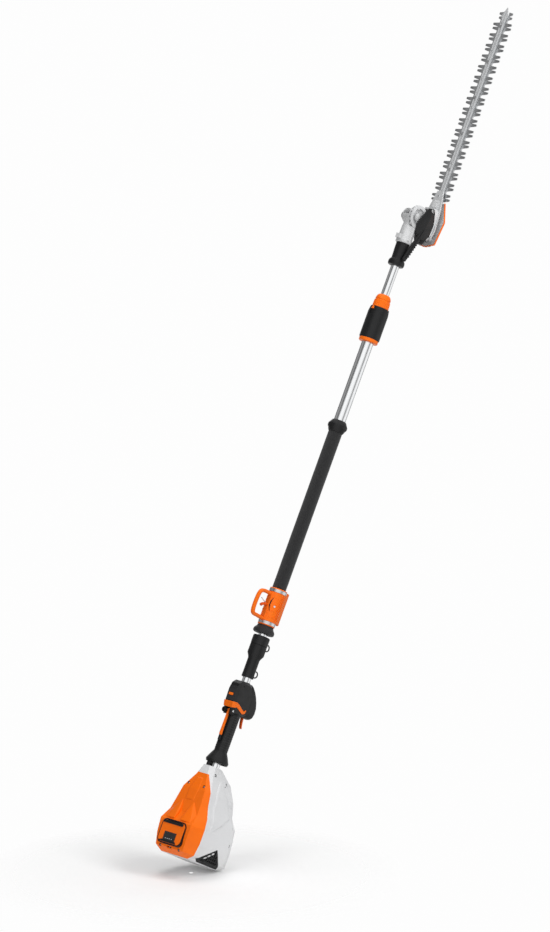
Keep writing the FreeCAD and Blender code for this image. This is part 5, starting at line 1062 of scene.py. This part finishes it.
# ================================================================ cutter head
def make_gear_cover():
    """The faceted cover in front of the gears."""
    half = 28.0
    outline = [(-12, 1910), (12, 1910), (half - 1, 1940), (half, 1986), (15, 2019), (-15, 2019),
               (-half, 1986), (-half + 1, 1940)]
    points = [(x, y, z) for x, z in outline for y in (54.0, 64.0)]
    points += [(x * 0.72, 47.5, PIVOT_HEIGHT + (z - PIVOT_HEIGHT) * 0.90) for x, z in outline]
    points += [(0, 41.0, 1932), (0, 41.0, 1998)]
    hull_piece("cover_skin", points, "cutter_head", "black_plastic", smooth=20.0, edge=1.6, cuts=3,
               corner=12.0, stands_for="gear_cover")


def make_cheek():
    """The cover's right cheek beside the detent ring."""
    rim = [(-2, 1955), (15, 1994), (25, 2013), (47, 2018), (55, 2008), (66, 1975), (64, 1936),
           (44, 1920), (20, 1921), (3, 1931)]
    crest = [(33, 2006), (44, 2004), (49, 1975), (40, 1936), (22, 1936), (12, 1956), (25, 1988)]
    ridge = ((39, 1998), (30, 1944))
    layers = ((CHEEK_INNER, rim), (CHEEK_OUTER - 3.0, rim), (CHEEK_OUTER, crest),
              (CHEEK_OUTER + 1.6, ridge))
    points = [(x, y, z) for x, outline in layers for y, z in outline]
    hull_piece("cover_cheek", points, "cutter_head", "black_plastic", smooth=14.0, edge=1.2, cuts=3,
               corner=9.0)
    screw_head("cheek_screw", "cutter_head", Vector((CHEEK_OUTER - 1.2, 40, 2009)),
               Vector((0.94, 0.02, 0.34)).normalized(), 5.6, 2.2)
    bridge = [(x, y, z) for x in (20.0, CHEEK_INNER + 1) for y, z in
              ((50, 2006), (63, 1976), (62, 1938), (50, 1926))]
    hull_piece("cheek_bridge", bridge, "cutter_head", "black_plastic", edge=0.8)


def make_hand_lever():
    """The hand lever that grows from the cheek, with its rib and its row of teeth."""
    top = Vector((CHEEK_INNER + 3, 33, 1950))
    end = Vector((CHEEK_INNER + 4, -6, 1838))
    hull_piece("adjusting_lever_skin", swept_bar(top, end, 8.6, 4.2, 7.4, 3.6), "cutter_head",
               "black_plastic", smooth=25.0, edge=1.4, cuts=3, corner=25.0,
               stands_for="adjusting_lever")
    rib = swept_bar(top + Vector((4.6, -1.0, -3.0)), end + Vector((4.2, 3.2, 9.0)), 2.4, 1.6, 2.0, 1.2)
    hull_piece("lever_rib", rib, "cutter_head", "black_plastic", edge=0.8)
    tooth = block_points((-3.4, 3.4), (-2.0, 1.1), (-1.9, 1.9))
    for index in range(9):
        place = top.lerp(end, 0.24 + 0.075 * index) + Vector((0.4, 7.4, -2.6))
        hull_piece("lever_tooth_%d" % (index + 1), [place + Vector(p) for p in tooth], "cutter_head",
                   "black_plastic", edge=0.6)


def make_root_plates():
    """The plates behind the gear cover, the blade's root tab with its bolt, and the edge guard."""
    outline = ((27, 1998), (26, 2018), (12.5, 2084), (31, 1960), (24, 1932))
    plate = [(sign * x, y, z) for x, z in outline for y in (73.5, 77.9) for sign in (-1, 1)]
    hull_piece("root_plate", plate, "cutter_head", "steel", plate_steel, 25.0, edge=1.0)
    tab = [(x, y, z) for x in (-9, 9) for y, z in ((68, 2030), (74, 2030), (68, 2040), (74, 2056))]
    hull_piece("root_tab", tab, "cutter_head", "cast_aluminium", edge=1.2)
    screw_head("root_screw", "cutter_head", Vector((0, 73.6, 2068)), -Y_AXIS, 4.0, 1.6)
    low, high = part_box("guard_rim")
    y = (low.y + high.y) / 2 / MM
    half = [(6, 1914.5), (0.80 * SKID_HALF, 1924), (0.99 * SKID_HALF, 1994), (0.46 * SKID_HALF, 2052)]
    corners = [Vector((-x, y, z)) for x, z in reversed(half)] + [Vector((x, y, z)) for x, z in half]
    strips = []
    for start, end in zip(corners, corners[1:]):
        aside = (end - start).normalized().cross(Y_AXIS)
        strips.append(hull_mesh([
            place + aside * across + Y_AXIS * deep
            for place in (start, end) for across in (-1.3, 1.3) for deep in (-2.3, 2.3)]))
    add_piece("guard_rim_skin", joined(strips), "cutter_head", "orange_plastic",
              edge=0.5, stands_for="guard_rim")


def make_pivot():
    """The cap and the knurled knob on the tilt axis, and the detent marks round it."""
    cap = turned_mesh([(15.8, 0), (15.8, 4.6), (14.6, 5.8), (12.6, 6.0), (12.4, 5.0)],
                      seat((-23.7, 0, PIVOT_HEIGHT), -X_AXIS), 64)
    add_piece("cheek_cap", cap, "cutter_head", "black_plastic")

    def knurl(angle):
        return 1.0 - 0.06 * (0.5 + 0.5 * math.cos(18 * angle))
    rings = [(10.5, 1.4), (11.9, 1.6), (12.1, 2.4, knurl), (12.1, 6.6, knurl), (11.4, 7.8), (9.0, 8.2),
             (8.6, 7.4), (3.0, 7.2)]
    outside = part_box("pivot_cap")[0].x / MM
    knob = turned_mesh(rings, seat((outside + 8.4, 0, PIVOT_HEIGHT), -X_AXIS), 144)
    add_piece("knob_skin", knob, "inner_pole", "black_plastic", stands_for="pivot_cap")
    mark = block_points((-3.4, 3.4), (-1.7, 1.7), (-1.6, 1.0))
    marks = []
    for index in range(12):
        angle = math.radians(112 + 15 * index)
        outward = Vector((0, math.cos(angle), math.sin(angle)))
        turn = Matrix((X_AXIS, outward.cross(X_AXIS), outward)).transposed().to_4x4()
        place = outward * 34.0 + Vector((17.5, 0, PIVOT_HEIGHT))
        marks.append(hull_mesh(mark, Matrix.Translation(place) @ turn))
    carve(nodes["gear_head"], joined(marks), "cutter_head")


def make_blade_details():
    """Bolts along the guide rail and two raised ribs beside its middle."""
    low, high = (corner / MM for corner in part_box("guide_rail"))
    for index in range(7):
        z = low.z + 60 + (high.z - low.z - 110) * index / 6
        screw_head("rail_bolt_%d" % (index + 1), "cutter_head", Vector((0, low.y, z)), -Y_AXIS, 3.6, 1.2)
    for side, sign in SIDES:
        rib = block_points((sign * 4.6 - 0.7, sign * 4.6 + 0.7), (low.y - 1.0, low.y + 0.2),
                           (low.z + 30, high.z - 14))
        hull_piece("rail_rib_" + side, rib, "cutter_head", "steel", bright_steel, edge=0.3)


# ================================================================ CAD nodes that stay
EDGE_WIDTHS = {
    "motor_shell_left": 3.2, "motor_shell_right": 3.2, "rear_cover": 3.6, "intake_grille": 0.8,
    "battery_case": 1.2, "battery_latch": 0.8, "battery_bay": 0.8, "handle_left": 2.2,
    "handle_right": 2.2, "display_panel": 0.6, "trim_band": 0.8, "mode_button": 0.6,
    "loop_clamp_rear": 1.2, "clamp_bands": 0.3, "collet_sleeve": 1.0, "joint_arm": 1.0,
    "gear_head": 1.0, "guide_rail": 0.4, "skid_plate": 0.4, "upper_blade": 0.45, "lower_blade": 0.45,
}


def dress_frame():
    """Gives every CAD node its slot's material and rounds the edges of those in view."""
    plates = ("skid_plate", "guide_rail")
    for name, node in nodes.items():
        node.data.materials.clear()
        node.data.materials.append(plate_steel if name in plates else materials[slot_of[name]])
        if name in EDGE_WIDTHS:
            soften(node, EDGE_WIDTHS[name])


# ================================================================ stage, camera and lights
def view_axes():
    """The camera's place and the picture's right, up and back directions."""
    side = Vector((math.cos(VIEW_AZIMUTH), math.sin(VIEW_AZIMUTH), 0))
    back = Vector((math.sin(VIEW_AZIMUTH), -math.cos(VIEW_AZIMUTH), 0))
    place = back * CAMERA_DISTANCE + Z_AXIS * CAMERA_HEIGHT
    aim = side * AIM_SIDEWAYS + Z_AXIS * AIM_HEIGHT
    forward = (aim - place).normalized()
    level = forward.cross(Z_AXIS).normalized()
    rise = level.cross(forward)
    right = math.cos(VIEW_ROLL) * level + math.sin(VIEW_ROLL) * rise
    up = math.cos(VIEW_ROLL) * rise - math.sin(VIEW_ROLL) * level
    return place, right, up, -forward


def make_camera():
    place, right, up, back = view_axes()
    data = bpy.data.cameras.new("camera")
    data.sensor_width = 36.0
    data.lens = LENS
    data.clip_start = 0.1
    data.clip_end = 200.0
    camera = link_object("camera", data)
    camera.matrix_world = Matrix.Translation(place) @ Matrix((right, up, back)).transposed().to_4x4()
    bpy.context.scene.camera = camera


def area_light(name, offset, size, power):
    """A soft lamp at an offset (right, up, back) from the part's middle in the picture's axes."""
    _, right, up, back = view_axes()
    middle = Vector((0, 0, 1.2))
    away = right * offset[0] + up * offset[1] + back * offset[2]
    data = bpy.data.lights.new(name, "AREA")
    data.shape = "RECTANGLE"
    data.size, data.size_y = size
    data.energy = power
    lamp = link_object(name, data)
    lamp.matrix_world = seat(middle + away, away)
    lamp.visible_glossy = False


def make_lights():
    area_light("key", (3.4, 2.2, 3.0), (1.8, 3.6), 150.0)
    area_light("fill", (-3.4, 0.6, 3.6), (2.2, 3.6), 70.0)
    area_light("top", (-0.6, 5.0, 0.8), (3.0, 3.0), 95.0)


def make_world():
    """White where it is seen directly; darker bands at the sides show in the metal."""
    bands = ((0.0, 0.35), (0.07, 0.10), (0.16, 0.16), (0.24, 1.0), (0.62, 1.0), (0.76, 0.80),
             (0.85, 0.20), (0.91, 0.30), (0.96, 0.95))
    world = bpy.data.worlds.new("studio")
    bpy.context.scene.world = world
    world.use_nodes = True
    world.node_tree.nodes.clear()
    sky = Graph(world.node_tree)
    coords = sky.node("ShaderNodeTexCoord").outputs["Generated"]
    across = (math.cos(VIEW_AZIMUTH), math.sin(VIEW_AZIMUTH), 0)
    side = sky.node("ShaderNodeVectorMath", {0: coords, 1: across}, operation="DOT_PRODUCT")
    spread = sky.ramp(side.outputs["Value"], -1.0, 1.0)
    banded = sky.node("ShaderNodeValToRGB", {"Fac": spread})
    elements = banded.color_ramp.elements
    while len(elements) < len(bands):
        elements.new(0.5)
    for element, (position, level) in zip(elements, bands):
        element.position = position
        element.color = (level, level, level, 1)
    rays = sky.node("ShaderNodeLightPath").outputs
    strength = sky.ramp(rays["Is Glossy Ray"], 0.0, 1.0, 0.58, 1.20)
    studio = sky.node("ShaderNodeBackground", {"Color": banded.outputs["Color"], "Strength": strength})
    seen = sky.node("ShaderNodeBackground", {"Color": (0.985, 0.985, 0.985, 1)})
    mix = sky.node("ShaderNodeMixShader", {
        0: rays["Is Camera Ray"], 1: studio.outputs["Background"], 2: seen.outputs["Background"]})
    sky.node("ShaderNodeOutputWorld", {"Surface": mix.outputs["Shader"]})


FLOOR_RADIUS = 0.62
FLOOR_TILT = math.radians(9.0)         # how much the floor turns towards the camera


def make_floor():
    """A round pale floor under the housing, square to the picture, that fades out at its rim."""
    _, _, up, back = view_axes()
    normal = (up * math.cos(FLOOR_TILT) + back * math.sin(FLOOR_TILT)).normalized()
    housing = ("motor_shell_left", "motor_shell_right", "intake_grille", "rear_cover")
    lowest = min(v.co.dot(normal) for name in housing for v in nodes[name].data.vertices)
    foot_low, foot_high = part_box("motor_shell_right")
    middle = Vector((0, (foot_low.y + foot_high.y) / 2, 0))
    centre = middle + normal * (lowest - 2 * MM - middle.dot(normal))
    rings = [(FLOOR_RADIUS / MM * share, 0.0) for share in (1.0, 0.75, 0.5, 0.25, 0.01)]
    mesh = turned_mesh(rings, seat(centre / MM, normal), ends="open")
    floor = link_object("floor", mesh)
    mesh.materials.append(floor_material(centre))


def floor_material(centre):
    look = Shader("floor", (0.93, 0.93, 0.93), 0.85)
    look.blot(look.noise(3.0), 0.3, 0.7, 0.2, (0.90, 0.90, 0.90))
    away = look.node("ShaderNodeVectorMath", {0: look.coords, 1: centre}, operation="DISTANCE")
    fade = look.ramp(away.outputs["Value"], FLOOR_RADIUS * 0.35, FLOOR_RADIUS * 0.98)
    clear = look.node("ShaderNodeBsdfTransparent")
    mix = look.node("ShaderNodeMixShader", {
        0: fade, 1: look.bsdf.outputs["BSDF"], 2: clear.outputs["BSDF"]})
    look.link(mix.outputs["Shader"], look.tree.nodes["Material Output"].inputs["Surface"])
    return look.material


bpy.context.scene.view_settings.view_transform = "Standard"
make_camera()
make_lights()
make_world()
make_floor()
dress_frame()
make_tubes()
make_harness_sleeves()
make_collars()
make_arm_skirt()
make_wells()
make_grille_details()
make_housing_relief()
make_battery_face()
make_handle_parts()
make_handle_screws()
make_grip_ribs()
make_soft_sleeves()
make_loop_clamp()
make_nut()
make_gear_cover()
make_cheek()
make_hand_lever()
make_root_plates()
make_pivot()
make_blade_details()
